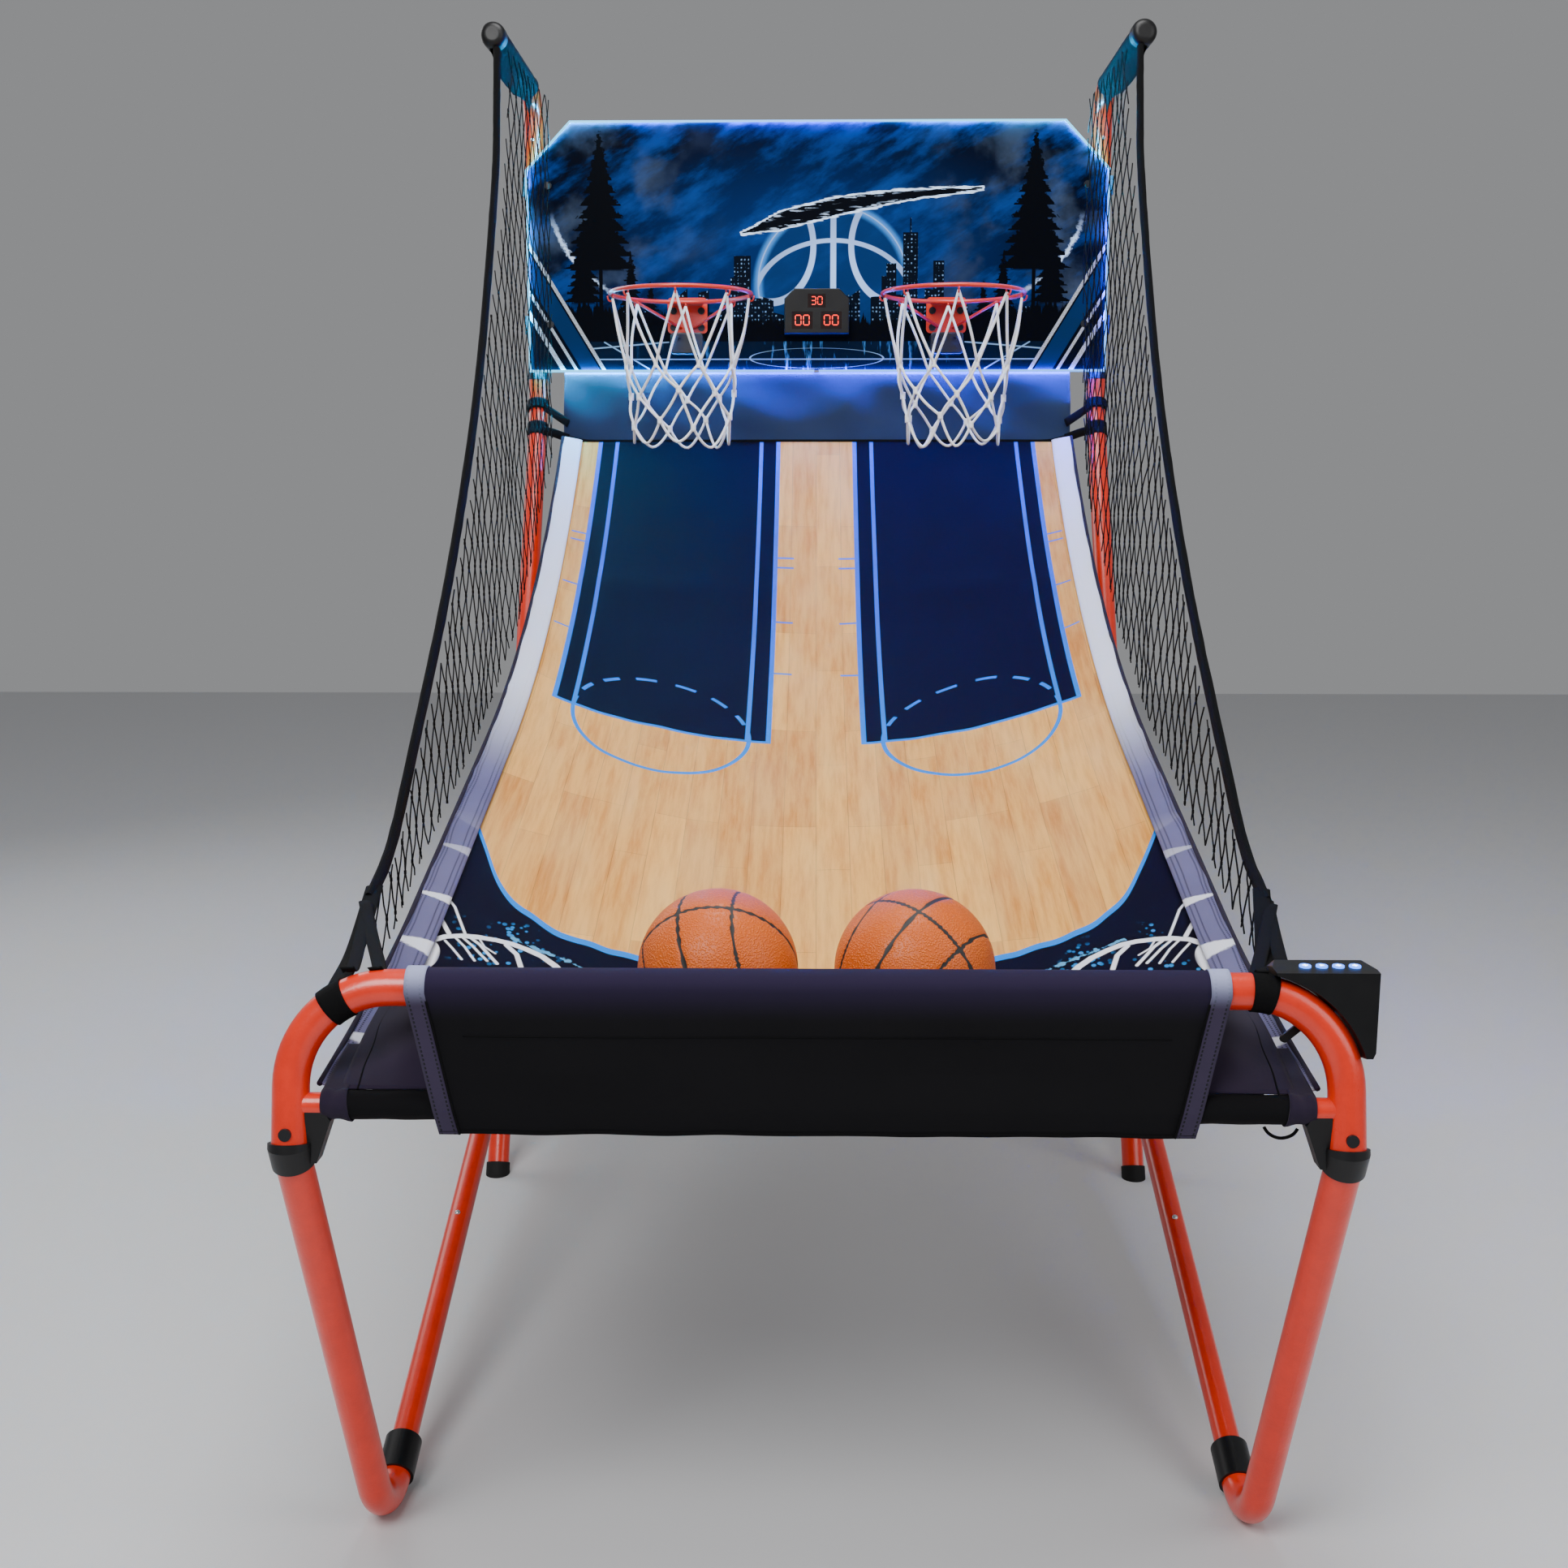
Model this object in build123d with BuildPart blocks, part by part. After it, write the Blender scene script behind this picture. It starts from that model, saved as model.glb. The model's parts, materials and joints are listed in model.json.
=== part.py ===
"""Double-hoop basketball game: a folding steel-tube frame with a fabric ball ramp.

Millimetres, +Z up, +X to the player's right, +Y from the player towards the backboard.
The origin is on the floor, at the centre of the machine's outline.
"""
import os
from math import acos, atan2, cos, degrees, radians, sin, sqrt, tan

from build123d import *

os.makedirs("parts", exist_ok=True)

# ---------------------------------------------------------------- driving sizes
tube_d = 38.0            # main frame tube
tube_wall = 1.5
brace_d = 32.0           # lower braces
brace_wall = 1.5
crossbar_d = 25.0        # bar under the ball pocket
rod_d = 22.0             # bars behind the backboard

front_half = 537.0       # centre of the front bar's side tubes from the middle
front_bar_y = -973.0
front_bar_z = 699.0
front_bend = 100.0       # bend radius of the front bar
leg_top_y = -1004.0
leg_top_z = 541.0
foot_half = 510.0        # centre of the bent feet from the middle
foot_corner_y = -795.0
foot_bend = 65.0
brace_half = 499.0       # centre of the braces from the middle
leg_share = 0.62         # share of the leg above the seam with the bent foot
mitre_gap = 1.0          # between the front bar's end and the leg, inside the corner coupler

pole_half = 572.0        # centre of the rear poles from the middle
rear_foot_y = 329.0
mast_y = 1007.0
pole_corner_z = 1399.0   # where the leaning pole turns upright
pole_bend = 150.0
mast_base_z = 1470.0
mast_top_z = 1941.0
arm_z = 2012.0
arm_bend = 50.0
arm_front_y = 568.0
pivot_z = 561.0          # height of the folding pivot on the rear poles

board_past_pole = 8.0    # board and its light strip beyond the poles' centre lines
board_w = 2 * (pole_half + board_past_pole)
board_t = 10.0
board_front_y = 966.0
board_low_z = 1466.0
board_high_z = 1947.0
board_corner_w = 88.0
board_corner_h = 92.0
led_w = 4.0
led_depth = 14.0

hoop_x = 261.0
hoop_y = 780.0
hoop_z = 1594.0
hoop_r = 135.0           # centre line of the ring
hoop_rod_d = 8.0
plate_w = 80.0
plate_h = 70.0
net_drop = 292.0
net_top_r = 130.0
net_low_r = 110.0
net_t = 4.0

score_w = 130.0
score_h = 88.0
score_d = 30.0
score_low_z = 1535.0
score_corner = 20.0
score_wall = 2.5

ramp_half = 478.0        # the ramp cloth without its side hems
hem_w = 32.0
ramp_t = 2.5
ramp_front_y = -962.0
ramp_front_z = 545.0
ramp_curve_y = 0.0       # the ramp is straight up to here, then curves upwards
ramp_curve_z = 815.0
ramp_rear_y = 929.0
ramp_rear_z = 1322.0
hem_lift = 16.0          # the taut side hems lie this much above the sagging cloth in front
panel_t = 2.5
panel_half = 512.0

banner_t = 2.5
banner_top_half = 417.0
banner_low_half = 381.0
banner_low_z = 556.0
sleeve_t = 2.0

ball_d = 178.0
ball_wall = 2.6
ball_x = 109.0
ball_y = -816.0

bolt_r = 4.0
running_gap = 0.06       # radial clearance where a bolt or pin turns or slides
cloth_gap = 1.0          # clearance between cloth and its neighbours
body_gap = 0.4           # clearance between curved faces of parts that move apart
ball_gap = 1.0

button_d = 12.0
button_pitch = 16.8
button_first_x = 496.3
button_travel = 1.2
snap_d = 8.0
snap_proud = 3.0
snap_below_top = 21.0    # below the top end of the masts

# shared geometry
foot_grip = 20.0         # straight end of the bent foot inside its sleeve
foot_sleeve_l = 52.0
foot_sleeve_t = 3.5
snap_from_start = 410.0  # brace snap button from the start of the brace
joint_after_snap = 32.0
insert_l = 62.0          # thinner end of the rear brace tube inside the front one
insert_gap = 0.15
insert_wall = 1.4
swage_l = 5.0            # where the thinner end widens into the tube
brace_tail = 28.0        # brace beyond the folding pivot

# rear frame
foot_cut_z = 6.0         # sole of the rubber cap under the tube
cap_h = 18.0             # rubber cap round the foot of a rear pole
cap_t = 2.0
collar_h = 40.0
collar_t = 1.6
end_cap_l = 34.0

# backboard
clamp_h = 36.0
led_gap_w = 10.0
plate_t = 3.0
head_r = 7.0
head_t = 3.2

# scoreboard
window_t = 2.0

# hoops
strut_r = 3.0
plate_above = 14.0       # top of the plate above the ring
sensor_w, sensor_h, sensor_d = 66.0, 42.0, 34.0

# ramp and cloth
tie_t = 2.0
tie_w = 24.0
net_x = 530.0
net_sheet_t = 3.0

# folding pivot
spacer_r = 12.0
nut_t = 6.0

# front frame
bolt_above_end = 17.0
cap_bolt_r = 6.5
coupler_t = 3.6
coupler_below, coupler_above = 22.0, 3.0
wedge_w = 26.0
wedge_d = 23.0
crossbar_sleeve_half = 474.0
gusset_t = 2.0
gusset_low_x = 462.0
gusset_top_x = 432.0
gusset_back_x = 492.0

# control box
box_gap = 0.4
box_depth = 40.0
box_wall = 2.2
box_top = 31.0           # above the bar's centre line
box_left_x = 463.0
box_right_x = 567.0
box_low = -66.0
split_back = 10.0        # depth of the back shell
bracket_t = 3.0
lever_pin_r = 2.5
flange_t = 1.2
lever_t = 6.0
lever_l = 40.0

# snap buttons
snap_flange_t = 2.4

# drawstring
drawstring_d = 3.5
bend_share = 0.45        # of the shorter run beside a corner that its bend may take

tube_r = tube_d / 2
brace_r = brace_d / 2
crossbar_r = crossbar_d / 2
SIDES = (("left", -1), ("right", 1))


# ---------------------------------------------------------------- helpers
def save(piece, name):
    """Label a finished piece and write it."""
    piece.part.label = name
    export_step(piece.part, f"parts/{name}.step")


def facing_plane(y):
    """Upright plane across the machine: local x is X, local y is Z, facing the player."""
    return Plane(origin=(0, y, 0), x_dir=(1, 0, 0), z_dir=(0, -1, 0))


def side_plane(x):
    """Upright plane along the machine: local x is Y, local y is Z, facing +X."""
    return Plane(origin=(x, 0, 0), x_dir=(0, 1, 0), z_dir=(1, 0, 0))


def along(point, direction, distance):
    return point + direction * distance


def add_tube(points, bend, outer_r, wall, mode=Mode.ADD):
    """Sweep a round tube along straight runs joined by bends, in the current part."""
    with BuildLine() as route:
        if len(points) > 2:
            FilletPolyline(*points, radius=bend)
        else:
            Line(*points)
    with BuildSketch(Plane(origin=route.line @ 0, z_dir=route.line % 0)) as section:
        Circle(outer_r)
        if wall:
            Circle(outer_r - wall, mode=Mode.SUBTRACT)
    sweep(section.sketch, path=route.line, mode=mode)


def add_rod(start, end, radius, mode=Mode.ADD):
    """A solid round rod between two points."""
    add_tube([start, end], 0, radius, 0, mode)


# ---------------------------------------------------------------- shared geometry
side_lean = Vector(0, front_bar_y - leg_top_y, front_bar_z - leg_top_z).normalized()
bar_plane = Plane(
    origin=(0, front_bar_y, front_bar_z),
    x_dir=(1, 0, 0),
    z_dir=Vector(1, 0, 0).cross(side_lean),
)


def leg_top(s):
    return Vector(s * front_half, leg_top_y, leg_top_z)


def pole_point(s, z):
    """Centre of a leaning rear pole at a height."""
    return Vector(s * pole_half, rear_foot_y + (mast_y - rear_foot_y) * z / pole_corner_z, z)


def pivot_point(s, x_from_middle):
    spot = pole_point(s, pivot_z)
    return Vector(s * x_from_middle, spot.Y, spot.Z)


def foot_corner(s):
    """Corner where leg and brace lines meet, so that the bend just touches the floor."""
    z = 0.0
    for _ in range(8):
        corner = Vector(s * foot_half, foot_corner_y, z)
        to_leg = (leg_top(s) - corner).normalized()
        to_brace = (pivot_point(s, brace_half) - corner).normalized()
        half_open = radians(to_leg.get_angle(to_brace)) / 2
        middle = (to_leg + to_brace).normalized()
        normal = to_leg.cross(to_brace).normalized()
        bend_centre_z = z + foot_bend / sin(half_open) * middle.Z
        lowest = bend_centre_z - foot_bend * sqrt(1 - normal.Z**2)
        z += tube_r - lowest
    return Vector(s * foot_half, foot_corner_y, z)


def leg_direction(s):
    return (foot_corner(s) - leg_top(s)).normalized()


def brace_direction(s):
    return (pivot_point(s, brace_half) - foot_corner(s)).normalized()


def mitre_plane(offset):
    """Plane that halves the corner between the front bar's sides and the legs, facing the legs."""
    down = Vector(0, leg_direction(1).Y, leg_direction(1).Z).normalized()
    facing = (down - side_lean).normalized()
    return Plane(origin=Vector(0, leg_top_y, leg_top_z) + facing * offset, x_dir=(1, 0, 0), z_dir=facing)


def leg_seam(s):
    return leg_top(s) + (foot_corner(s) - leg_top(s)) * leg_share


def brace_start(s):
    """End of the bent foot, where the black foot sleeve sits."""
    to_leg = leg_direction(s) * -1
    half_open = radians(to_leg.get_angle(brace_direction(s))) / 2
    return along(foot_corner(s), brace_direction(s), foot_bend / tan(half_open) + foot_grip)


def brace_normal(s):
    """Upwards and square to the brace, in the brace's upright plane."""
    d = brace_direction(s)
    return Vector(0, -d.Z, d.Y).normalized()


def brace_snap_point(s):
    return along(brace_start(s), brace_direction(s), snap_from_start)


def brace_joint_point(s):
    return along(brace_snap_point(s), brace_direction(s), joint_after_snap)


# ---------------------------------------------------------------- rear frame

for side, s in SIDES:
    below = pole_point(s, -60)
    pivot = pivot_point(s, pole_half)

    with BuildPart() as rear_pole:
        add_tube(
            [below, pole_point(s, pole_corner_z), Vector(s * pole_half, mast_y, mast_base_z)],
            pole_bend, tube_r, tube_wall,
        )
        split(bisect_by=Plane.XY.offset(foot_cut_z), keep=Keep.TOP)
        with Locations(Plane(origin=pivot, z_dir=(1, 0, 0))):
            Cylinder(bolt_r + running_gap, tube_d + 4, mode=Mode.SUBTRACT)
    save(rear_pole, f"rear_pole_{side}")

    with BuildPart() as mast:
        add_tube(
            [Vector(s * pole_half, mast_y, mast_base_z), Vector(s * pole_half, mast_y, mast_top_z)],
            0, tube_r, tube_wall,
        )
        with Locations(Plane(origin=(s * pole_half, mast_y - tube_r, mast_top_z - snap_below_top), z_dir=(0, -1, 0))):
            Cylinder(snap_d / 2 + running_gap, 12, mode=Mode.SUBTRACT)
    save(mast, f"mast_{side}")

    insert_r = tube_r - tube_wall - insert_gap
    with BuildPart() as arm:
        add_tube(
            [
                Vector(s * pole_half, mast_y, mast_top_z),
                Vector(s * pole_half, mast_y, arm_z),
                Vector(s * pole_half, arm_front_y, arm_z),
            ],
            arm_bend, tube_r, tube_wall,
        )
        add_tube(
            [
                Vector(s * pole_half, mast_y, mast_top_z - insert_l),
                Vector(s * pole_half, mast_y, mast_top_z + swage_l),
            ],
            0, insert_r, tube_wall,
        )
        add_tube(
            [Vector(s * pole_half, mast_y, mast_top_z), Vector(s * pole_half, mast_y, mast_top_z + swage_l)],
            0, tube_r, tube_wall + insert_gap + tube_wall / 2,
        )
        with Locations(Plane(origin=(s * pole_half, mast_y - tube_r, mast_top_z - snap_below_top), z_dir=(0, -1, 0))):
            Cylinder(snap_d / 2 + running_gap, 12, mode=Mode.SUBTRACT)
    save(arm, f"arm_{side}")

with BuildPart() as rear_foot_caps:
    for side, s in SIDES:
        add_rod(pole_point(s, -60), pole_point(s, cap_h), tube_r + cap_t)
    split(bisect_by=Plane.XY, keep=Keep.TOP)
    for side, s in SIDES:
        with BuildPart(mode=Mode.PRIVATE) as pole_core:
            add_rod(pole_point(s, -60), pole_point(s, cap_h + 60), tube_r)
            split(bisect_by=Plane.XY.offset(foot_cut_z), keep=Keep.TOP)
        add(pole_core.part, mode=Mode.SUBTRACT)
save(rear_foot_caps, "rear_foot_caps")

with BuildPart() as pole_collars:
    for side, s in SIDES:
        with Locations((s * pole_half, mast_y, mast_base_z)):
            Cylinder(tube_r + collar_t, collar_h)
            Cylinder(tube_r, collar_h + 2, mode=Mode.SUBTRACT)
save(pole_collars, "pole_collars")

with BuildPart() as arm_end_caps:
    for side, s in SIDES:
        with BuildSketch(facing_plane(arm_front_y + 14)):
            with Locations((s * pole_half, arm_z)):
                Circle(tube_r + 3.5)
        extrude(amount=end_cap_l)
    fillet(arm_end_caps.faces().sort_by(Axis.Y)[:2].edges(), 12)
    for side, s in SIDES:
        with BuildSketch(facing_plane(arm_front_y + 16)):
            with Locations((s * pole_half, arm_z)):
                Circle(tube_r)
        extrude(amount=16, mode=Mode.SUBTRACT)
save(arm_end_caps, "arm_end_caps")

arm_sleeve_rear_y = mast_y - arm_bend - 12
with BuildPart() as arm_sleeves:
    for side, s in SIDES:
        with BuildSketch(facing_plane(arm_sleeve_rear_y)):
            with Locations((s * pole_half, arm_z)):
                Circle(tube_r + sleeve_t)
                Circle(tube_r, mode=Mode.SUBTRACT)
        extrude(amount=arm_sleeve_rear_y - arm_front_y - 15)
save(arm_sleeves, "arm_sleeves")

crossbar_heights = (board_low_z + 45, board_high_z - 60)
with BuildPart() as board_crossbars:
    for z in crossbar_heights:
        add_rod(
            Vector(-pole_half, mast_y, z), Vector(pole_half, mast_y, z), rod_d / 2,
        )
    for z in crossbar_heights:
        add_rod(
            Vector(-pole_half, mast_y, z), Vector(pole_half, mast_y, z),
            rod_d / 2 - tube_wall, Mode.SUBTRACT,
        )
    for side, s in SIDES:
        with Locations((s * pole_half, mast_y, (mast_base_z + mast_top_z) / 2)):
            Cylinder(tube_r, mast_top_z - mast_base_z + 80, mode=Mode.SUBTRACT)
save(board_crossbars, "board_crossbars")

# ---------------------------------------------------------------- backboard
clamp_heights = (board_low_z + 90, board_high_z - 120)
clamp_bolt_x = pole_half - tube_r - 14
hoop_bolt_x = plate_w / 2 - 12
hoop_bolt_heights = (hoop_z - 45, hoop_z - 12)
board_back_y = board_front_y + board_t


def board_outline(grow=0.0):
    """The backboard's outline with its two sloping top corners, in the current sketch."""
    w = board_w / 2
    with BuildLine() as outline:
        Polyline(
            (-w, board_low_z), (w, board_low_z),
            (w, board_high_z - board_corner_h), (w - board_corner_w, board_high_z),
            (board_corner_w - w, board_high_z), (-w, board_high_z - board_corner_h),
            close=True,
        )
    make_face(outline.edges())
    if grow:
        offset(amount=grow, kind=Kind.INTERSECTION)


with BuildPart() as backboard_panel:
    with BuildSketch(facing_plane(board_back_y)):
        board_outline()
    extrude(amount=board_t)
    with BuildSketch(facing_plane(board_back_y)):
        for side, s in SIDES:
            with Locations(*[(s * clamp_bolt_x, z) for z in clamp_heights]):
                Circle(bolt_r)
            for bx in (-hoop_bolt_x, hoop_bolt_x):
                with Locations(*[(s * hoop_x + bx, z) for z in hoop_bolt_heights]):
                    Circle(bolt_r)
    extrude(amount=board_t, mode=Mode.SUBTRACT)
save(backboard_panel, "backboard_panel")

with BuildPart() as led_edge_strip:
    with BuildSketch(facing_plane(board_back_y)):
        board_outline(led_w)
        with BuildSketch(mode=Mode.PRIVATE) as inside:
            board_outline()
        add(inside.sketch_local, mode=Mode.SUBTRACT)
    extrude(amount=led_depth)
    with Locations((0, board_front_y, board_low_z)):
        Box(led_gap_w, 60, 4 * led_w, mode=Mode.SUBTRACT)
save(led_edge_strip, "led_edge_strip")

with BuildPart() as board_saddle_clamps:
    for side, s in SIDES:
        for z in clamp_heights:
            with BuildSketch(Plane.XY.offset(z - clamp_h / 2)):
                inner_x = pole_half - tube_r - 28
                outer_x = pole_half + tube_r + 1.5
                with Locations((s * (inner_x + outer_x) / 2, (board_back_y + mast_y + tube_r + 1.5) / 2)):
                    RectangleRounded(outer_x - inner_x, mast_y + tube_r + 1.5 - board_back_y, 1.2)
                with Locations((s * pole_half, mast_y)):
                    Circle(tube_r, mode=Mode.SUBTRACT)
            extrude(amount=clamp_h)
    with BuildSketch(facing_plane(mast_y + tube_r + 10)):
        for side, s in SIDES:
            with Locations(*[(s * clamp_bolt_x, z) for z in clamp_heights]):
                Circle(bolt_r)
    extrude(amount=100, mode=Mode.SUBTRACT)
save(board_saddle_clamps, "board_saddle_clamps")

with BuildPart() as board_bolts:
    clamp_spots = [(s * clamp_bolt_x, z) for side, s in SIDES for z in clamp_heights]
    hoop_spots = [
        (s * hoop_x + bx, z)
        for side, s in SIDES for bx in (-hoop_bolt_x, hoop_bolt_x) for z in hoop_bolt_heights
    ]
    for spots, face_y, shank_l in (
        (clamp_spots, board_front_y, board_t + 44),
        (hoop_spots, board_front_y - plate_t, board_t + plate_t + 5),
    ):
        with BuildSketch(facing_plane(face_y)):
            with Locations(*spots):
                Circle(head_r)
        extrude(amount=head_t)
        with BuildSketch(facing_plane(face_y + shank_l)):
            with Locations(*spots):
                Circle(bolt_r)
        extrude(amount=shank_l)
save(board_bolts, "board_bolts")

# ---------------------------------------------------------------- scoreboard
score_top_z = score_low_z + score_h
WINDOWS = (
    (0.0, score_top_z - 24, 36.0, 27.0),
    (-29.0, score_low_z + 26, 42.0, 34.0),
    (29.0, score_low_z + 26, 42.0, 34.0),
)


def scoreboard_outline(inset):
    w, c = score_w / 2 - inset, score_corner - inset * 0.6
    low, top = score_low_z + inset, score_top_z - inset
    with BuildLine() as outline:
        Polyline((-w, low), (w, low), (w, top - c), (w - c, top), (c - w, top), (-w, top - c), close=True)
    make_face(outline.edges())


with BuildPart() as scoreboard_housing:
    with BuildSketch(facing_plane(board_front_y)):
        scoreboard_outline(0)
    extrude(amount=score_d)
    fillet(scoreboard_housing.faces().sort_by(Axis.Y)[0].edges(), 2.0)
    with BuildSketch(facing_plane(board_front_y)):
        scoreboard_outline(score_wall)
    extrude(amount=score_d - score_wall, mode=Mode.SUBTRACT)
    for x, z, w, h in WINDOWS:
        with Locations((x, board_front_y - score_d, z)):
            Box(w, 12, h, mode=Mode.SUBTRACT)
save(scoreboard_housing, "scoreboard_housing")

with BuildPart() as scoreboard_windows:
    for x, z, w, h in WINDOWS:
        with Locations((x, board_front_y - score_d + 0.4 + window_t / 2, z)):
            Box(w, window_t, h)
save(scoreboard_windows, "scoreboard_windows")

with BuildPart() as scoreboard_display_board:
    with BuildSketch(facing_plane(board_front_y - 8)):
        scoreboard_outline(score_wall + 4)
    extrude(amount=1.6)
    for x, z, w, h in WINDOWS:
        with BuildSketch(facing_plane(board_front_y - 9.6)):
            with Locations((x, z)):
                Rectangle(w - 4, h - 4)
        extrude(amount=score_d - 9.6 - score_wall - 1.5)
    for x in (-score_w / 2 + 12, score_w / 2 - 12):
        with BuildSketch(facing_plane(board_front_y)):
            with Locations((x, score_low_z + 12), (x, score_top_z - 30)):
                Circle(3)
        extrude(amount=9)
save(scoreboard_display_board, "scoreboard_display_board")

# ---------------------------------------------------------------- hoops
strut_angle = radians(50)
with BuildPart() as hoop:
    with BuildSketch(facing_plane(board_front_y)):
        with Locations((0, hoop_z - plate_h / 2 + plate_above)):
            RectangleRounded(plate_w, plate_h, 8)
        for bx in (-hoop_bolt_x, hoop_bolt_x):
            with Locations(*[(bx, z) for z in hoop_bolt_heights]):
                Circle(bolt_r, mode=Mode.SUBTRACT)
    extrude(amount=plate_t)
    with BuildSketch(Plane.XY.offset(hoop_z - plate_t / 2)):
        with BuildLine():
            Polyline(
                (-plate_w * 0.36, board_front_y - plate_t / 2), (plate_w * 0.36, board_front_y - plate_t / 2),
                (plate_w * 0.5, hoop_y + hoop_r - 5), (-plate_w * 0.5, hoop_y + hoop_r - 5),
                close=True,
            )
        make_face()
        with Locations((0, hoop_y)):
            Circle(hoop_r - 2, mode=Mode.SUBTRACT)
    extrude(amount=plate_t)
    with BuildPart(mode=Mode.PRIVATE) as ring:
        with BuildSketch(Plane(origin=(0, hoop_y, hoop_z), x_dir=(0, -1, 0), z_dir=(1, 0, 0))):
            with Locations(Location((hoop_r, 0, 0), (0, 0, 90))):
                Circle(hoop_rod_d / 2)
        revolve(axis=Axis((0, hoop_y, hoop_z), (0, 0, 1)), revolution_arc=360)
    add(ring.part)
    for t in (-1, 1):
        ring_point = Vector(t * hoop_r * sin(strut_angle), hoop_y + hoop_r * cos(strut_angle), hoop_z)
        plate_point = Vector(t * plate_w * 0.16, board_front_y - plate_t + 0.5, hoop_z - plate_h + 24)
        add_rod(ring_point, plate_point, strut_r)

for side, s in SIDES:
    with BuildPart() as placed_hoop:
        with Locations((s * hoop_x, 0, 0)):
            add(hoop.part)
    save(placed_hoop, f"hoop_{side}")

    with BuildPart() as hoop_net:
        net_top_z = hoop_z - hoop_rod_d / 2 - cloth_gap
        with Locations((s * hoop_x, hoop_y, net_top_z - net_drop / 2)):
            Cone(net_low_r, net_top_r, net_drop)
            Cone(net_low_r - net_t, net_top_r - net_t, net_drop, mode=Mode.SUBTRACT)
    save(hoop_net, f"hoop_net_{side}")

sensor_top_z = hoop_z - plate_h + plate_above - 1
with BuildPart() as score_sensors:
    for side, s in SIDES:
        with BuildSketch(facing_plane(board_front_y)):
            with Locations((s * hoop_x, sensor_top_z - sensor_h / 2)):
                RectangleRounded(sensor_w, sensor_h, 7)
        extrude(amount=sensor_d)
    fillet(score_sensors.faces().sort_by(Axis.Y)[:2].edges(), 3)
    for side, s in SIDES:
        with BuildSketch(facing_plane(board_front_y - sensor_d)):
            with Locations((s * hoop_x - 15, sensor_top_z - 14), (s * hoop_x + 15, sensor_top_z - 14)):
                Circle(4)
        extrude(amount=-6, mode=Mode.SUBTRACT)
save(score_sensors, "score_sensors")

# ---------------------------------------------------------------- ramp and cloth
ramp_slope = atan2(ramp_curve_z - ramp_front_z, ramp_curve_y - ramp_front_y)
ramp_tangent = (cos(ramp_slope), sin(ramp_slope))


def ramp_strip(x_low, x_high, lift, thickness):
    """The ramp's section, straight and then curving up, between two places across it."""
    with BuildSketch(side_plane(x_low)) as section:
        with BuildLine():
            front = Line((ramp_front_y, ramp_front_z + lift), (ramp_curve_y, ramp_curve_z + lift * 0.6))
            TangentArc(front @ 1, (ramp_rear_y, ramp_rear_z), tangent=front % 1)
        trace(line_width=thickness)
    extrude(section.sketch, amount=x_high - x_low)


with BuildPart() as ramp_sheet:
    ramp_strip(-ramp_half, ramp_half, -ramp_t / 2, ramp_t)
save(ramp_sheet, "ramp_sheet")

with BuildPart() as ramp_side_hems:
    ramp_strip(-ramp_half - cloth_gap - hem_w, -ramp_half - cloth_gap, hem_lift, 5.0)
    ramp_strip(ramp_half + cloth_gap, ramp_half + cloth_gap + hem_w, hem_lift, 5.0)
save(ramp_side_hems, "ramp_side_hems")

tie_z = ramp_rear_z + 6
with BuildPart() as back_panel:
    with BuildSketch(side_plane(-panel_half)):
        with BuildLine():
            Polyline(
                (ramp_rear_y + 8, tie_z - 12),
                (ramp_rear_y + 8 + panel_t, tie_z - 12),
                (board_front_y + 2, board_low_z - led_w - cloth_gap),
                (board_front_y + 2 - panel_t, board_low_z - led_w - cloth_gap),
                close=True,
            )
        make_face()
    extrude(amount=2 * panel_half)
    for side, s in SIDES:
        pole_here = pole_point(s, tie_z + 20)
        pole_line = (pole_point(s, pole_corner_z) - pole_point(s, 0)).normalized()
        low, high = along(pole_here, pole_line, -tie_w / 2), along(pole_here, pole_line, tie_w / 2)
        add_rod(low, high, tube_r + tie_t)
        with BuildSketch(facing_plane(pole_here.Y - 4)):
            with Locations((s * (panel_half + pole_half - tube_r) / 2, tie_z + 20)):
                Rectangle(pole_half - tube_r - panel_half + 24, tie_w - 4)
        extrude(amount=tie_t + 18)
        add_rod(pole_point(s, tie_z - 60), pole_point(s, tie_z + 75), tube_r, Mode.SUBTRACT)
save(back_panel, "back_panel")

net_rear_y = board_back_y - led_depth - 6
NET_FRONT = ((560, 1985), (487, 1781), (290, 1487), (101, 1271), (-175, 1011), (-507, 755), (-640, 700))
for side, s in SIDES:
    with BuildPart() as side_net:
        with BuildSketch(side_plane(net_x if s > 0 else -net_x - net_sheet_t)):
            with BuildLine():
                Polyline(
                    *NET_FRONT,
                    (-640, 655), (-320, 740), (80, 856), (404, 985), (734, 1180),
                    (pole_point(s, 1330).Y - 30, 1330), (net_rear_y, 1450), (net_rear_y, 1985),
                    close=True,
                )
            make_face()
        extrude(amount=net_sheet_t)
    save(side_net, f"side_net_{side}")

# ---------------------------------------------------------------- folding pivot
with BuildPart() as pivot_spacers:
    for side, s in SIDES:
        add_rod(
            pivot_point(s, brace_half + brace_r + body_gap), pivot_point(s, pole_half), spacer_r,
        )
    for side, s in SIDES:
        add_rod(pole_point(s, pivot_z - 80), pole_point(s, pivot_z + 80), tube_r, Mode.SUBTRACT)
        add_rod(
            pivot_point(s, brace_half), pivot_point(s, pole_half + tube_r),
            bolt_r + running_gap, Mode.SUBTRACT,
        )
save(pivot_spacers, "pivot_spacers")

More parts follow.
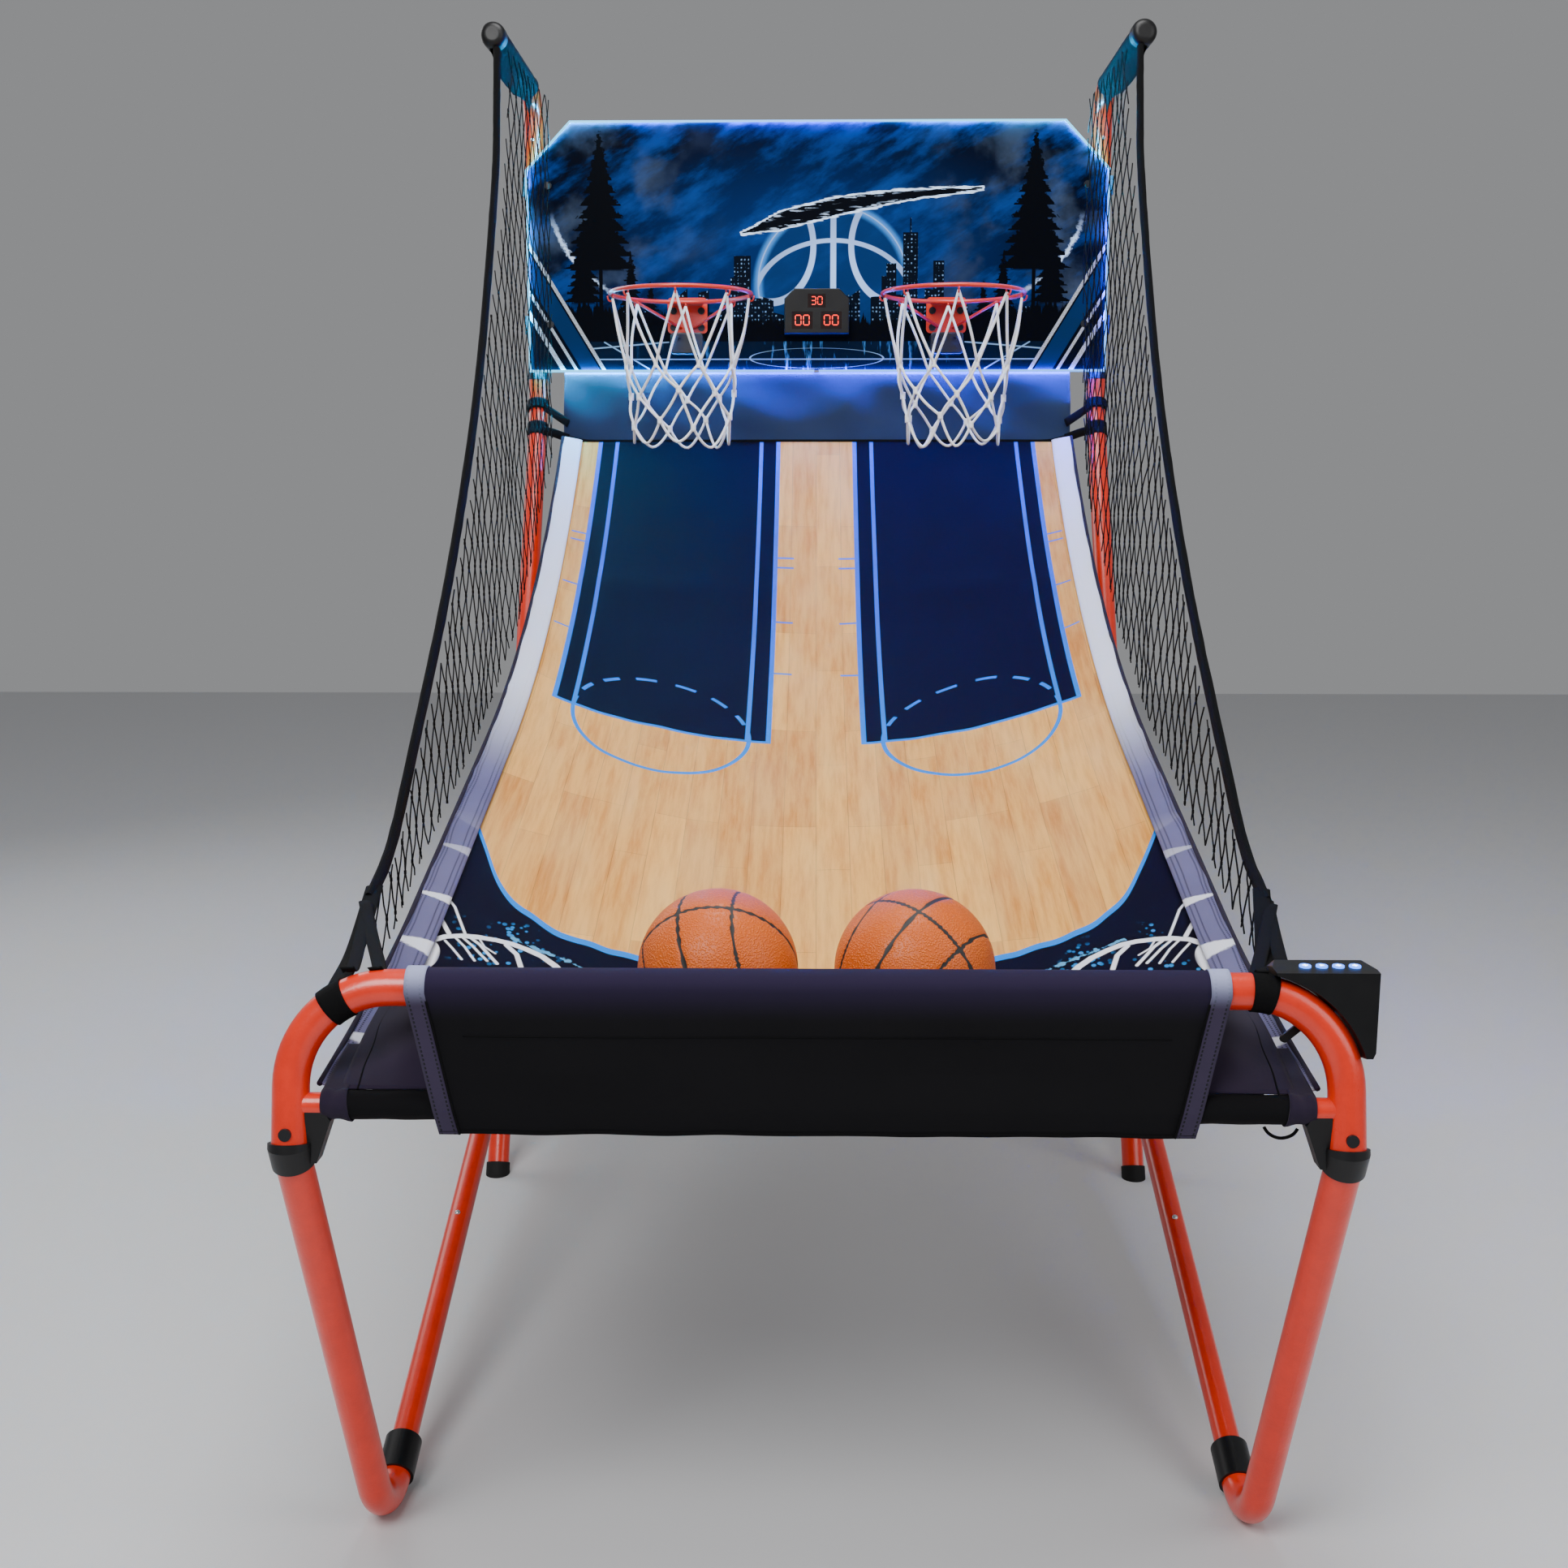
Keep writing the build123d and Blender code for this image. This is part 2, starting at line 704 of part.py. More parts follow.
with BuildPart() as fold_pivot_bolts:
    for side, s in SIDES:
        inner_face = brace_half - brace_r - 0.2
        outer_face = pole_half + tube_r + body_gap
        add_rod(pivot_point(s, inner_face - nut_t), pivot_point(s, outer_face + 1), bolt_r)
        add_rod(pivot_point(s, inner_face - nut_t), pivot_point(s, inner_face), head_r)
        add_rod(pivot_point(s, outer_face), pivot_point(s, outer_face + 5), head_r + 1)
save(fold_pivot_bolts, "fold_pivot_bolts")

# ---------------------------------------------------------------- front frame
for side, s in SIDES:
    with BuildPart() as leg:
        add_tube([along(leg_top(s), leg_direction(s), -tube_r), leg_seam(s)], 0, tube_r, tube_wall)
        split(bisect_by=mitre_plane(mitre_gap / 2), keep=Keep.TOP)
    save(leg, f"leg_{side}")

    with BuildPart() as bent_foot:
        add_tube([leg_seam(s), foot_corner(s), brace_start(s)], foot_bend, tube_r, tube_wall)
    save(bent_foot, f"bent_foot_{side}")

    joint = brace_joint_point(s)
    snap = brace_snap_point(s)
    snap_plane = Plane(origin=along(snap, brace_normal(s), brace_r), z_dir=brace_normal(s))
    brace_end = along(pivot_point(s, brace_half), brace_direction(s), brace_tail)
    with BuildPart() as brace_front:
        add_tube([brace_start(s), joint], 0, brace_r, brace_wall)
        with Locations(snap_plane):
            Cylinder(snap_d / 2 + running_gap, 14, mode=Mode.SUBTRACT)
    save(brace_front, f"brace_front_{side}")

    with BuildPart() as brace_rear:
        add_tube([joint, brace_end], 0, brace_r, brace_wall)
        insert_start = along(joint, brace_direction(s), -insert_l)
        swage_end = along(joint, brace_direction(s), swage_l)
        add_tube([insert_start, swage_end], 0, brace_r - brace_wall - insert_gap, insert_wall)
        add_tube([joint, swage_end], 0, brace_r, brace_wall + insert_gap + insert_wall / 2)
        with Locations(snap_plane):
            Cylinder(snap_d / 2 + running_gap, 14, mode=Mode.SUBTRACT)
        with Locations(Plane(origin=pivot_point(s, brace_half), z_dir=(1, 0, 0))):
            Cylinder(bolt_r, brace_d + 4, mode=Mode.SUBTRACT)
    save(brace_rear, f"brace_rear_{side}")

with BuildPart() as foot_sleeves:
    for side, s in SIDES:
        start = along(brace_start(s), brace_direction(s), -foot_grip)
        end = along(start, brace_direction(s), foot_sleeve_l)
        add_rod(start, end, tube_r + foot_sleeve_t)
        add_rod(start, brace_start(s), tube_r, Mode.SUBTRACT)
        add_rod(brace_start(s), end, brace_r, Mode.SUBTRACT)
save(foot_sleeves, "foot_sleeves")

with BuildPart() as front_bar:
    add_tube(
        [
            along(leg_top(-1), side_lean, -tube_r),
            Vector(-front_half, front_bar_y, front_bar_z),
            Vector(front_half, front_bar_y, front_bar_z),
            along(leg_top(1), side_lean, -tube_r),
        ],
        front_bend, tube_r, tube_wall,
    )
    split(bisect_by=mitre_plane(-mitre_gap / 2), keep=Keep.BOTTOM)
    for side, s in SIDES:
        with Locations(Plane(origin=along(leg_top(s), side_lean, bolt_above_end), z_dir=(0, -1, 0))):
            Cylinder(bolt_r, tube_d + 20, mode=Mode.SUBTRACT)
save(front_bar, "front_bar")

with BuildPart() as front_bar_bolts:
    for side, s in SIDES:
        centre = along(leg_top(s), side_lean, bolt_above_end)
        add_rod(centre + Vector(0, tube_r + 5, 0), centre - Vector(0, tube_r + 1, 0), bolt_r)
        add_rod(centre - Vector(0, tube_r - 1.5, 0), centre - Vector(0, tube_r + 2.4, 0), cap_bolt_r)
        add_rod(centre + Vector(0, tube_r - 1.5, 0), centre + Vector(0, tube_r + 4, 0), cap_bolt_r)
    for side, s in SIDES:
        add_rod(along(leg_top(s), side_lean, -20), along(leg_top(s), side_lean, 60), tube_r, Mode.SUBTRACT)
        centre = along(leg_top(s), side_lean, bolt_above_end)
        add_rod(centre + Vector(0, tube_r + 3, 0), centre - Vector(0, tube_r + 1, 0), bolt_r)
save(front_bar_bolts, "front_bar_bolts")

crossbar_z = leg_top_z + 41
crossbar_y = leg_top_y + 41 * side_lean.Y / side_lean.Z
with BuildPart() as corner_couplers:
    for side, s in SIDES:
        inner = front_half - tube_r + 2
        with BuildPart(mode=Mode.PRIVATE) as wedge:
            with BuildSketch(facing_plane(crossbar_y + wedge_d / 2)):
                with BuildLine():
                    Polyline(
                        (s * inner, leg_top_z - coupler_below + 4),
                        (s * inner, crossbar_z + 4),
                        (s * (inner - wedge_w * 0.6), crossbar_z + 4),
                        (s * (inner - wedge_w), crossbar_z - crossbar_r - 2),
                        (s * (inner - wedge_w * 0.4), leg_top_z - coupler_below + 4),
                        close=True,
                    )
                make_face()
            extrude(amount=wedge_d)
            add_rod(leg_top(s), along(leg_top(s), side_lean, 90), tube_r, Mode.SUBTRACT)
            add_rod(leg_top(s), along(leg_top(s), leg_direction(s), 90), tube_r, Mode.SUBTRACT)
            add_rod(
                Vector(0, crossbar_y, crossbar_z), Vector(s * front_half, crossbar_y, crossbar_z),
                crossbar_r, Mode.SUBTRACT,
            )
        add(wedge.part)
        with BuildPart(mode=Mode.PRIVATE) as lower_collar:
            add_tube(
                [along(leg_top(s), leg_direction(s), -tube_d), along(leg_top(s), leg_direction(s), coupler_below)],
                0, tube_r + coupler_t, coupler_t,
            )
            split(bisect_by=mitre_plane(0), keep=Keep.TOP)
        add(lower_collar.part)
        with BuildPart(mode=Mode.PRIVATE) as upper_collar:
            add_tube(
                [along(leg_top(s), side_lean, -tube_d), along(leg_top(s), side_lean, coupler_above)],
                0, tube_r + coupler_t, coupler_t,
            )
            split(bisect_by=mitre_plane(0), keep=Keep.BOTTOM)
        add(upper_collar.part)
save(corner_couplers, "corner_couplers")

with BuildPart() as crossbar:
    add_tube(
        [Vector(-front_half, crossbar_y, crossbar_z), Vector(front_half, crossbar_y, crossbar_z)],
        0, crossbar_r, brace_wall,
    )
    for side, s in SIDES:
        add_rod(along(leg_top(s), side_lean, -30), along(leg_top(s), side_lean, 90), tube_r, Mode.SUBTRACT)
save(crossbar, "crossbar")

with BuildPart() as pocket_lining:
    add_tube(
        [
            Vector(-crossbar_sleeve_half, crossbar_y, crossbar_z),
            Vector(crossbar_sleeve_half, crossbar_y, crossbar_z),
        ],
        0, crossbar_r + sleeve_t, sleeve_t,
    )
    for side, s in SIDES:
        low_front = Vector(s * gusset_low_x, crossbar_y, crossbar_z + crossbar_r + 1)
        bar_under = Vector(s * gusset_top_x, front_bar_y + 4, front_bar_z - tube_r - 3)
        low_back = Vector(s * gusset_back_x, ramp_front_y + 180, ramp_front_z + 85)
        gusset_plane = Plane(
            origin=low_front, x_dir=low_back - low_front,
            z_dir=(low_back - low_front).cross(bar_under - low_front),
        )
        with BuildSketch(gusset_plane):
            with BuildLine():
                Polyline(*[gusset_plane.to_local_coords(p) for p in (low_front, low_back, bar_under)], close=True)
            make_face()
        extrude(amount=gusset_t / 2, both=True)
save(pocket_lining, "pocket_lining")

wrap_r = tube_r + banner_t / 2
banner_low_y = crossbar_y - crossbar_r - sleeve_t - banner_t / 2 - cloth_gap
with BuildPart() as banner:
    reach = Vector(banner_low_y - front_bar_y, crossbar_z - front_bar_z)
    leave_angle = degrees(atan2(reach.Y, reach.X)) + 360 - degrees(acos(wrap_r / reach.length))
    with BuildSketch(side_plane(-banner_top_half)):
        with BuildLine():
            wrap = CenterArc((front_bar_y, front_bar_z), wrap_r, 0, leave_angle)
            Polyline(wrap @ 1, (banner_low_y, crossbar_z), (banner_low_y, banner_low_z))
        trace(line_width=banner_t)
    extrude(amount=2 * banner_top_half)
    with BuildSketch(facing_plane(banner_low_y + 100)):
        for side, s in SIDES:
            with BuildLine():
                Polyline(
                    (s * banner_low_half, banner_low_z - 10),
                    (s * banner_top_half, front_bar_z - 6),
                    (s * (banner_top_half + 10), front_bar_z - 6),
                    (s * (banner_top_half + 10), banner_low_z - 10),
                    close=True,
                )
            make_face()
    extrude(amount=200, mode=Mode.SUBTRACT)
save(banner, "banner")

# ---------------------------------------------------------------- control box
box_slope = radians(16)
bend_centre = (front_half - front_bend, -front_bend)
box_arc_r = front_bend + tube_r + box_gap


def box_outline(inset):
    """Outline that follows the outside of the bar's bend, in the bar's plane."""
    r = box_arc_r + inset
    left, right = box_left_x + inset, box_right_x - inset
    top, low = box_top - inset, box_low + inset
    left_y = bend_centre[1] + sqrt(r**2 - (left - bend_centre[0]) ** 2)
    low_x = bend_centre[0] + sqrt(r**2 - (low - bend_centre[1]) ** 2)
    with BuildLine() as outline:
        Polyline(
            (left, left_y), (left, top - 6), (left + 7, top),
            (right - 8, top), (right, top - 8), (right - 6, low + 6), (right - 9, low), (low_x, low),
        )
        ThreePointArc(
            (low_x, low),
            (bend_centre[0] + r * cos(radians(45)), bend_centre[1] + r * sin(radians(45))),
            (left, left_y),
        )
    make_face(outline.edges())


def slope_plane(inset):
    """The sloping key face; local z points out of it, towards the player's eyes."""
    top_back = bar_plane.from_local_coords(Vector(0, box_top - inset, -box_depth / 2))
    up = bar_plane.y_dir * cos(box_slope) + bar_plane.z_dir * sin(box_slope)
    return Plane(origin=top_back, x_dir=(1, 0, 0), z_dir=up)


def box_shape(inset):
    with BuildSketch(bar_plane.offset(-box_depth / 2 + inset)) as section:
        box_outline(inset)
    extrude(section.sketch, amount=box_depth - 2 * inset)


key_plane = slope_plane(0)
key_row = -box_depth / 2 / cos(box_slope)
key_spots = [(button_first_x + i * button_pitch, key_row) for i in range(4)]
back_split = bar_plane.offset(-box_depth / 2 + split_back)
pivot_xy = (bend_centre[0] + front_bend * cos(radians(45)), bend_centre[1] + front_bend * sin(radians(45)))

for name, keep in (("control_box_front", Keep.TOP), ("control_box_back", Keep.BOTTOM)):
    with BuildPart() as control_shell:
        box_shape(0)
        split(bisect_by=slope_plane(0), keep=Keep.BOTTOM)
        with BuildPart(mode=Mode.PRIVATE) as hollow:
            box_shape(box_wall)
            split(bisect_by=slope_plane(box_wall), keep=Keep.BOTTOM)
        add(hollow.part, mode=Mode.SUBTRACT)
        with BuildSketch(key_plane.offset(4)):
            with Locations(*key_spots):
                Circle(button_d / 2 + 0.15)
        extrude(amount=-12, mode=Mode.SUBTRACT)
        split(bisect_by=back_split, keep=keep)
        if keep == Keep.BOTTOM:
            with BuildSketch(bar_plane.offset(-box_depth / 2 - bracket_t)):
                with Locations((pivot_xy[0] + 9, pivot_xy[1] + 9)):
                    SlotCenterToCenter(26, 22, rotation=45)
                with Locations(pivot_xy):
                    Circle(lever_pin_r + running_gap, mode=Mode.SUBTRACT)
            extrude(amount=bracket_t)
    save(control_shell, name)

with BuildPart() as control_circuit_board:
    with BuildSketch(key_plane.offset(-9)):
        with Locations((button_first_x + 1.5 * button_pitch, key_row)):
            Rectangle(3.35 * button_pitch, 20)
    extrude(amount=-1.6)
    with BuildSketch(key_plane.offset(-9)):
        with Locations(*key_spots):
            Rectangle(6, 6)
    extrude(amount=2.5)
save(control_circuit_board, "control_circuit_board")

for number, spot in enumerate(key_spots, start=1):
    with BuildPart() as key:
        with BuildSketch(key_plane.offset(-box_wall - flange_t - 0.1)):
            with Locations(spot):
                Circle(button_d / 2)
        extrude(amount=box_wall + flange_t + 0.1 + button_travel + 0.4)
        fillet(key.faces().sort_by(Axis.Z)[-1].edges(), 0.5)
        with BuildSketch(key_plane.offset(-box_wall - flange_t - 0.1)):
            with Locations(spot):
                Circle(button_d / 2 + 1.2)
        extrude(amount=flange_t)
    save(key, f"control_key_{number}")

lever_face = -box_depth / 2 - bracket_t - body_gap
with BuildPart() as clamp_lever:
    with BuildSketch(bar_plane.offset(lever_face)):
        with Locations((pivot_xy[0] - 14, pivot_xy[1] - 11)):
            SlotCenterToCenter(lever_l - 8, 8, rotation=38)
        with Locations(pivot_xy):
            Circle(8)
    extrude(amount=-lever_t)
    with BuildSketch(bar_plane.offset(lever_face - 1)):
        with Locations(pivot_xy):
            Circle(lever_pin_r)
    extrude(amount=1 + bracket_t + body_gap)
save(clamp_lever, "clamp_lever")

# ---------------------------------------------------------------- snap buttons
snap_flange_r = snap_d / 2 + 1.8


def snap_button(plane, bore_r, outer_r):
    """A sprung pin through both tube walls; the plane lies on the outer tube's surface."""
    flange_top = sqrt(bore_r**2 - snap_flange_r**2) - 0.2
    base = plane.offset(flange_top - snap_flange_t - outer_r)
    with BuildPart() as pin:
        with BuildSketch(base):
            Circle(snap_flange_r)
        extrude(amount=snap_flange_t)
        with BuildSketch(base):
            Circle(snap_d / 2)
        extrude(amount=outer_r + snap_proud - flange_top + snap_flange_t)
        fillet(pin.faces().sort_by(Axis(plane.origin, plane.z_dir))[-1].edges(), 2.5)
    return pin


for side, s in SIDES:
    brace_plane = Plane(origin=along(brace_snap_point(s), brace_normal(s), brace_r), z_dir=brace_normal(s))
    brace_snap = snap_button(brace_plane, brace_r - brace_wall - insert_gap - insert_wall, brace_r)
    save(brace_snap, f"brace_snap_{side}")
    mast_plane = Plane(origin=(s * pole_half, mast_y - tube_r, mast_top_z - snap_below_top), z_dir=(0, -1, 0))
    arm_snap = snap_button(mast_plane, insert_r - tube_wall, tube_r)
    save(arm_snap, f"arm_snap_{side}")

# ---------------------------------------------------------------- balls
ball_r = ball_d / 2
ramp_at_ball = ramp_front_z + (ball_y - ramp_front_y) * tan(ramp_slope)
ball_z = ramp_at_ball + (ball_r + ball_gap) / cos(ramp_slope)
for side, s in SIDES:
    with BuildPart() as ball:
        with Locations((s * ball_x, ball_y, ball_z)):
            Sphere(ball_r)
            Sphere(ball_r - ball_wall, mode=Mode.SUBTRACT)
    save(ball, f"ball_{side}")

# ---------------------------------------------------------------- drawstring
DRAWSTRING = ((454, -997, 564), (460, -999, 556.5), (471, -1000, 552.5), (482, -999, 555), (488, -997, 562.5))


def bend_radii(points):
    """A radius for each corner of a cord, as large as the runs beside the corner allow."""
    radii = []
    for before, corner, after in zip(points, points[1:], points[2:]):
        run_in, run_out = corner - before, after - corner
        half_turn = radians(run_in.get_angle(run_out)) / 2
        radii.append(round(bend_share * min(run_in.length, run_out.length) / tan(half_turn), 2))
    return radii


drawstring_points = [Vector(*point) for point in DRAWSTRING]
drawstring_radii = bend_radii(drawstring_points)
print("drawstring bend radii", drawstring_radii)
with BuildPart() as drawstring_loop:
    add_tube(drawstring_points, drawstring_radii, drawstring_d / 2, 0)
save(drawstring_loop, "drawstring_loop")
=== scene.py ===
"""Looks of the double-hoop basketball game: printed ramp cloth, nets, lit backboard and painted tubes.

Metres, +Z up, +X to the player's right, +Y from the player towards the backboard.
"""

import json
import logging
import math
import random
from dataclasses import dataclass, field
from enum import Enum
from typing import Callable, Iterable, Optional, Sequence

import bmesh
import bpy
from mathutils import Matrix, Vector, noise

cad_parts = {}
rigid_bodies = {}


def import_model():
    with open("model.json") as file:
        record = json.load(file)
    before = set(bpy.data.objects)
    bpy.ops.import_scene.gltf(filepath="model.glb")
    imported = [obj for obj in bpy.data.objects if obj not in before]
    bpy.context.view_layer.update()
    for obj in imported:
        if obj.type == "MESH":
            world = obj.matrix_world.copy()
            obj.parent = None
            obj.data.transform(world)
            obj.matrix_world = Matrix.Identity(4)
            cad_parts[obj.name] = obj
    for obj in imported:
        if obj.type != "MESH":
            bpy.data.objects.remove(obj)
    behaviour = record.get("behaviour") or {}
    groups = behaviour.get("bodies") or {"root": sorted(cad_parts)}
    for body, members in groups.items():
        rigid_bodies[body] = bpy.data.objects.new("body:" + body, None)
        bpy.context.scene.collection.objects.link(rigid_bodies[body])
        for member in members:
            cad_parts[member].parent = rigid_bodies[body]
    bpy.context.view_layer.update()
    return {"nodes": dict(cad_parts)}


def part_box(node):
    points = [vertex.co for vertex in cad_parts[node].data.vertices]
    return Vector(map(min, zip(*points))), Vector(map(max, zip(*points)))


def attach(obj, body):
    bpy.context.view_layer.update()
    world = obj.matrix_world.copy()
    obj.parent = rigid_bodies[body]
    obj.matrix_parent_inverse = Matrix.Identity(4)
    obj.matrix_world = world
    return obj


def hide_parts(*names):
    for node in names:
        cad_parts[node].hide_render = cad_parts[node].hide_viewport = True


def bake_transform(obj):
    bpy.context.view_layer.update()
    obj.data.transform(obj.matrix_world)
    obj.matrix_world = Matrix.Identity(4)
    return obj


logging.basicConfig(level=logging.INFO, format="%(message)s")
LOG = logging.getLogger("hoops")

Socket = bpy.types.NodeSocket
Colour = tuple[float, float, float]
Point = tuple[float, float, float]

SIDES = (("left", -1.0), ("right", 1.0))


class Body(str, Enum):
    """The moving groups that pieces ride on."""

    REAR = "rear_frame"
    FRONT = "front_frame"


# ---- node helpers
class Graph:
    """A material's node tree with short calls for the usual maths."""

    def __init__(self, name: str) -> None:
        """Make the material and its surface shader.

        Args:
            name: The material's name.
        """
        self.material = bpy.data.materials.new(name)
        self.material.use_nodes = True
        self.tree = self.material.node_tree
        self.tree.nodes.clear()
        self.shader = self.tree.nodes.new("ShaderNodeBsdfPrincipled")
        output = self.tree.nodes.new("ShaderNodeOutputMaterial")
        self.tree.links.new(self.shader.outputs["BSDF"], output.inputs["Surface"])

    def feed(self, target: Socket, value: object) -> None:
        """Link a socket, or set a plain number or colour.

        Args:
            target: The input to fill.
            value: Another node's output, a number or a colour.
        """
        if isinstance(value, bpy.types.NodeSocket):
            self.tree.links.new(value, target)
        elif isinstance(value, (tuple, list)) and target.type == "RGBA":
            target.default_value = (*value[:3], 1.0)
        else:
            target.default_value = value

    def set(self, **values: object) -> None:
        """Fill the shader's inputs; an underscore in a name stands for a space.

        Args:
            values: Input names and what goes in them.
        """
        for name, value in values.items():
            self.feed(self.shader.inputs[name.replace("_", " ")], value)

    def math(self, kind: str, a: object, b: object = 0.0, c: object = 0.0) -> Socket:
        """One step of arithmetic.

        Args:
            kind: The operation's name.
            a: First number.
            b: Second number.
            c: Third number.

        Returns:
            The result's socket.
        """
        node = self.tree.nodes.new("ShaderNodeMath")
        node.operation = kind
        for place, value in enumerate((a, b, c)):
            self.feed(node.inputs[place], value)
        return node.outputs[0]

    def times(self, a: object, b: object) -> Socket:
        """Two values multiplied."""
        return self.math("MULTIPLY", a, b)

    def scaled(self, a: object, b: object, c: object) -> Socket:
        """The first value times the second, plus the third."""
        return self.math("MULTIPLY_ADD", a, b, c)

    def plus(self, a: object, b: object) -> Socket:
        """Two values added."""
        return self.math("ADD", a, b)

    def less(self, a: object, b: object) -> Socket:
        """The first value less the second."""
        return self.math("SUBTRACT", a, b)

    def size(self, a: object) -> Socket:
        """A value without its sign."""
        return self.math("ABSOLUTE", a)

    def most(self, a: object, b: object) -> Socket:
        """The larger of two values."""
        return self.math("MAXIMUM", a, b)

    def least(self, a: object, b: object) -> Socket:
        """The smaller of two values."""
        return self.math("MINIMUM", a, b)

    def mix(self, share: object, a: object, b: object) -> Socket:
        """Blend two colours.

        Args:
            share: 0 gives a, 1 gives b.
            a: First colour.
            b: Second colour.

        Returns:
            The blended colour's socket.
        """
        node = self.tree.nodes.new("ShaderNodeMix")
        node.data_type = "RGBA"
        self.feed(node.inputs["Factor"], share)
        self.feed(node.inputs[6], a)
        self.feed(node.inputs[7], b)
        return node.outputs[2]

    def ramp(self, value: object, low: float, high: float, smooth: bool = True) -> Socket:
        """0 below low and 1 above high.

        Args:
            value: The number to spread.
            low: Where the result leaves 0.
            high: Where it reaches 1.
            smooth: Whether the change eases in and out.

        Returns:
            The result's socket.
        """
        node = self.tree.nodes.new("ShaderNodeMapRange")
        node.interpolation_type = "SMOOTHSTEP" if smooth else "LINEAR"
        self.feed(node.inputs["Value"], value)
        node.inputs["From Min"].default_value = low
        node.inputs["From Max"].default_value = high
        return node.outputs[0]

    def under(self, value: object, limit: float, soft: float = 0.0008) -> Socket:
        """1 where a number is under a limit.

        Args:
            value: The number.
            limit: The limit.
            soft: Half width of the soft edge.

        Returns:
            The mask's socket.
        """
        return self.less(1.0, self.ramp(value, limit - soft, limit + soft))

    def place(self) -> tuple[Socket, Socket, Socket]:
        """The spot on the object, in metres."""
        return self.split(self.tree.nodes.new("ShaderNodeTexCoord").outputs["Object"])

    def flat(self) -> tuple[Socket, Socket]:
        """The spot on the flat cut of a cloth, in metres."""
        return self.split(self.tree.nodes.new("ShaderNodeTexCoord").outputs["UV"])[:2]

    def split(self, vector: Socket) -> tuple[Socket, Socket, Socket]:
        """A vector's three numbers.

        Args:
            vector: The vector's socket.

        Returns:
            Its x, y and z sockets.
        """
        node = self.tree.nodes.new("ShaderNodeSeparateXYZ")
        self.tree.links.new(vector, node.inputs[0])
        return node.outputs[0], node.outputs[1], node.outputs[2]

    def join(self, x: object, y: object, z: object = 0.0) -> Socket:
        """A vector from three numbers.

        Args:
            x: First number.
            y: Second number.
            z: Third number.

        Returns:
            The vector's socket.
        """
        node = self.tree.nodes.new("ShaderNodeCombineXYZ")
        for place, value in enumerate((x, y, z)):
            self.feed(node.inputs[place], value)
        return node.outputs[0]

    def noise(self, scale: float, detail: float = 3.0, vector: Optional[Socket] = None,
              rough: float = 0.5) -> Socket:
        """Soft random numbers about 0.5.

        Args:
            scale: Blotches per metre.
            detail: Layers of finer noise.
            vector: Where to look; the object's own place if left out.
            rough: Strength of the finer layers.

        Returns:
            The number's socket.
        """
        node = self.tree.nodes.new("ShaderNodeTexNoise")
        node.inputs["Scale"].default_value = scale
        node.inputs["Detail"].default_value = detail
        node.inputs["Roughness"].default_value = rough
        source = vector or self.tree.nodes.new("ShaderNodeTexCoord").outputs["Object"]
        self.tree.links.new(source, node.inputs["Vector"])
        return node.outputs["Fac"]

    def cells(self, scale: float, vector: Optional[Socket] = None) -> Socket:
        """Distance to the nearest of many scattered points.

        Args:
            scale: Cells per metre.
            vector: Where to look; the object's own place if left out.

        Returns:
            The distance's socket.
        """
        node = self.tree.nodes.new("ShaderNodeTexVoronoi")
        node.inputs["Scale"].default_value = scale
        source = vector or self.tree.nodes.new("ShaderNodeTexCoord").outputs["Object"]
        self.tree.links.new(source, node.inputs["Vector"])
        return node.outputs["Distance"]

    def bump(self, height: object, distance: float, strength: float = 1.0) -> None:
        """Give the surface fine relief.

        Args:
            height: Relief from 0 to 1.
            distance: Its depth in metres.
            strength: How strongly it shows.
        """
        node = self.tree.nodes.new("ShaderNodeBump")
        node.inputs["Strength"].default_value = strength
        node.inputs["Distance"].default_value = distance
        self.feed(node.inputs["Height"], height)
        self.tree.links.new(node.outputs[0], self.shader.inputs["Normal"])

    def segment(self, u: Socket, v: Socket, a: Sequence[float], b: Sequence[float]) -> Socket:
        """Distance from a spot to a straight line between two points.

        Args:
            u: First coordinate.
            v: Second coordinate.
            a: One end.
            b: Other end.

        Returns:
            The distance's socket.
        """
        dx, dy = b[0] - a[0], b[1] - a[1]
        square = dx * dx + dy * dy
        pu, pv = self.less(u, a[0]), self.less(v, a[1])
        dot = self.scaled(pv, dy / square, self.times(pu, dx / square))
        share = self.least(self.most(dot, 0.0), 1.0)
        ex = self.scaled(share, -dx, pu)
        ey = self.scaled(share, -dy, pv)
        return self.math("SQRT", self.scaled(ex, ex, self.times(ey, ey)))

    def polyline(self, u: Socket, v: Socket, points: Sequence[Sequence[float]]) -> Socket:
        """Distance from a spot to a chain of straight lines.

        Args:
            u: First coordinate.
            v: Second coordinate.
            points: The chain's points.

        Returns:
            The distance's socket.
        """
        found = self.segment(u, v, points[0], points[1])
        for a, b in zip(points[1:], points[2:]):
            found = self.least(found, self.segment(u, v, a, b))
        return found

    def box(self, u: Socket, v: Socket, centre: Sequence[float], half: Sequence[float]) -> Socket:
        """Distance to an upright rectangle, below 0 inside it.

        Args:
            u: First coordinate.
            v: Second coordinate.
            centre: The rectangle's centre.
            half: Half its width and height.

        Returns:
            The distance's socket.
        """
        du = self.less(self.size(self.less(u, centre[0])), half[0])
        dv = self.less(self.size(self.less(v, centre[1])), half[1])
        return self.most(du, dv)

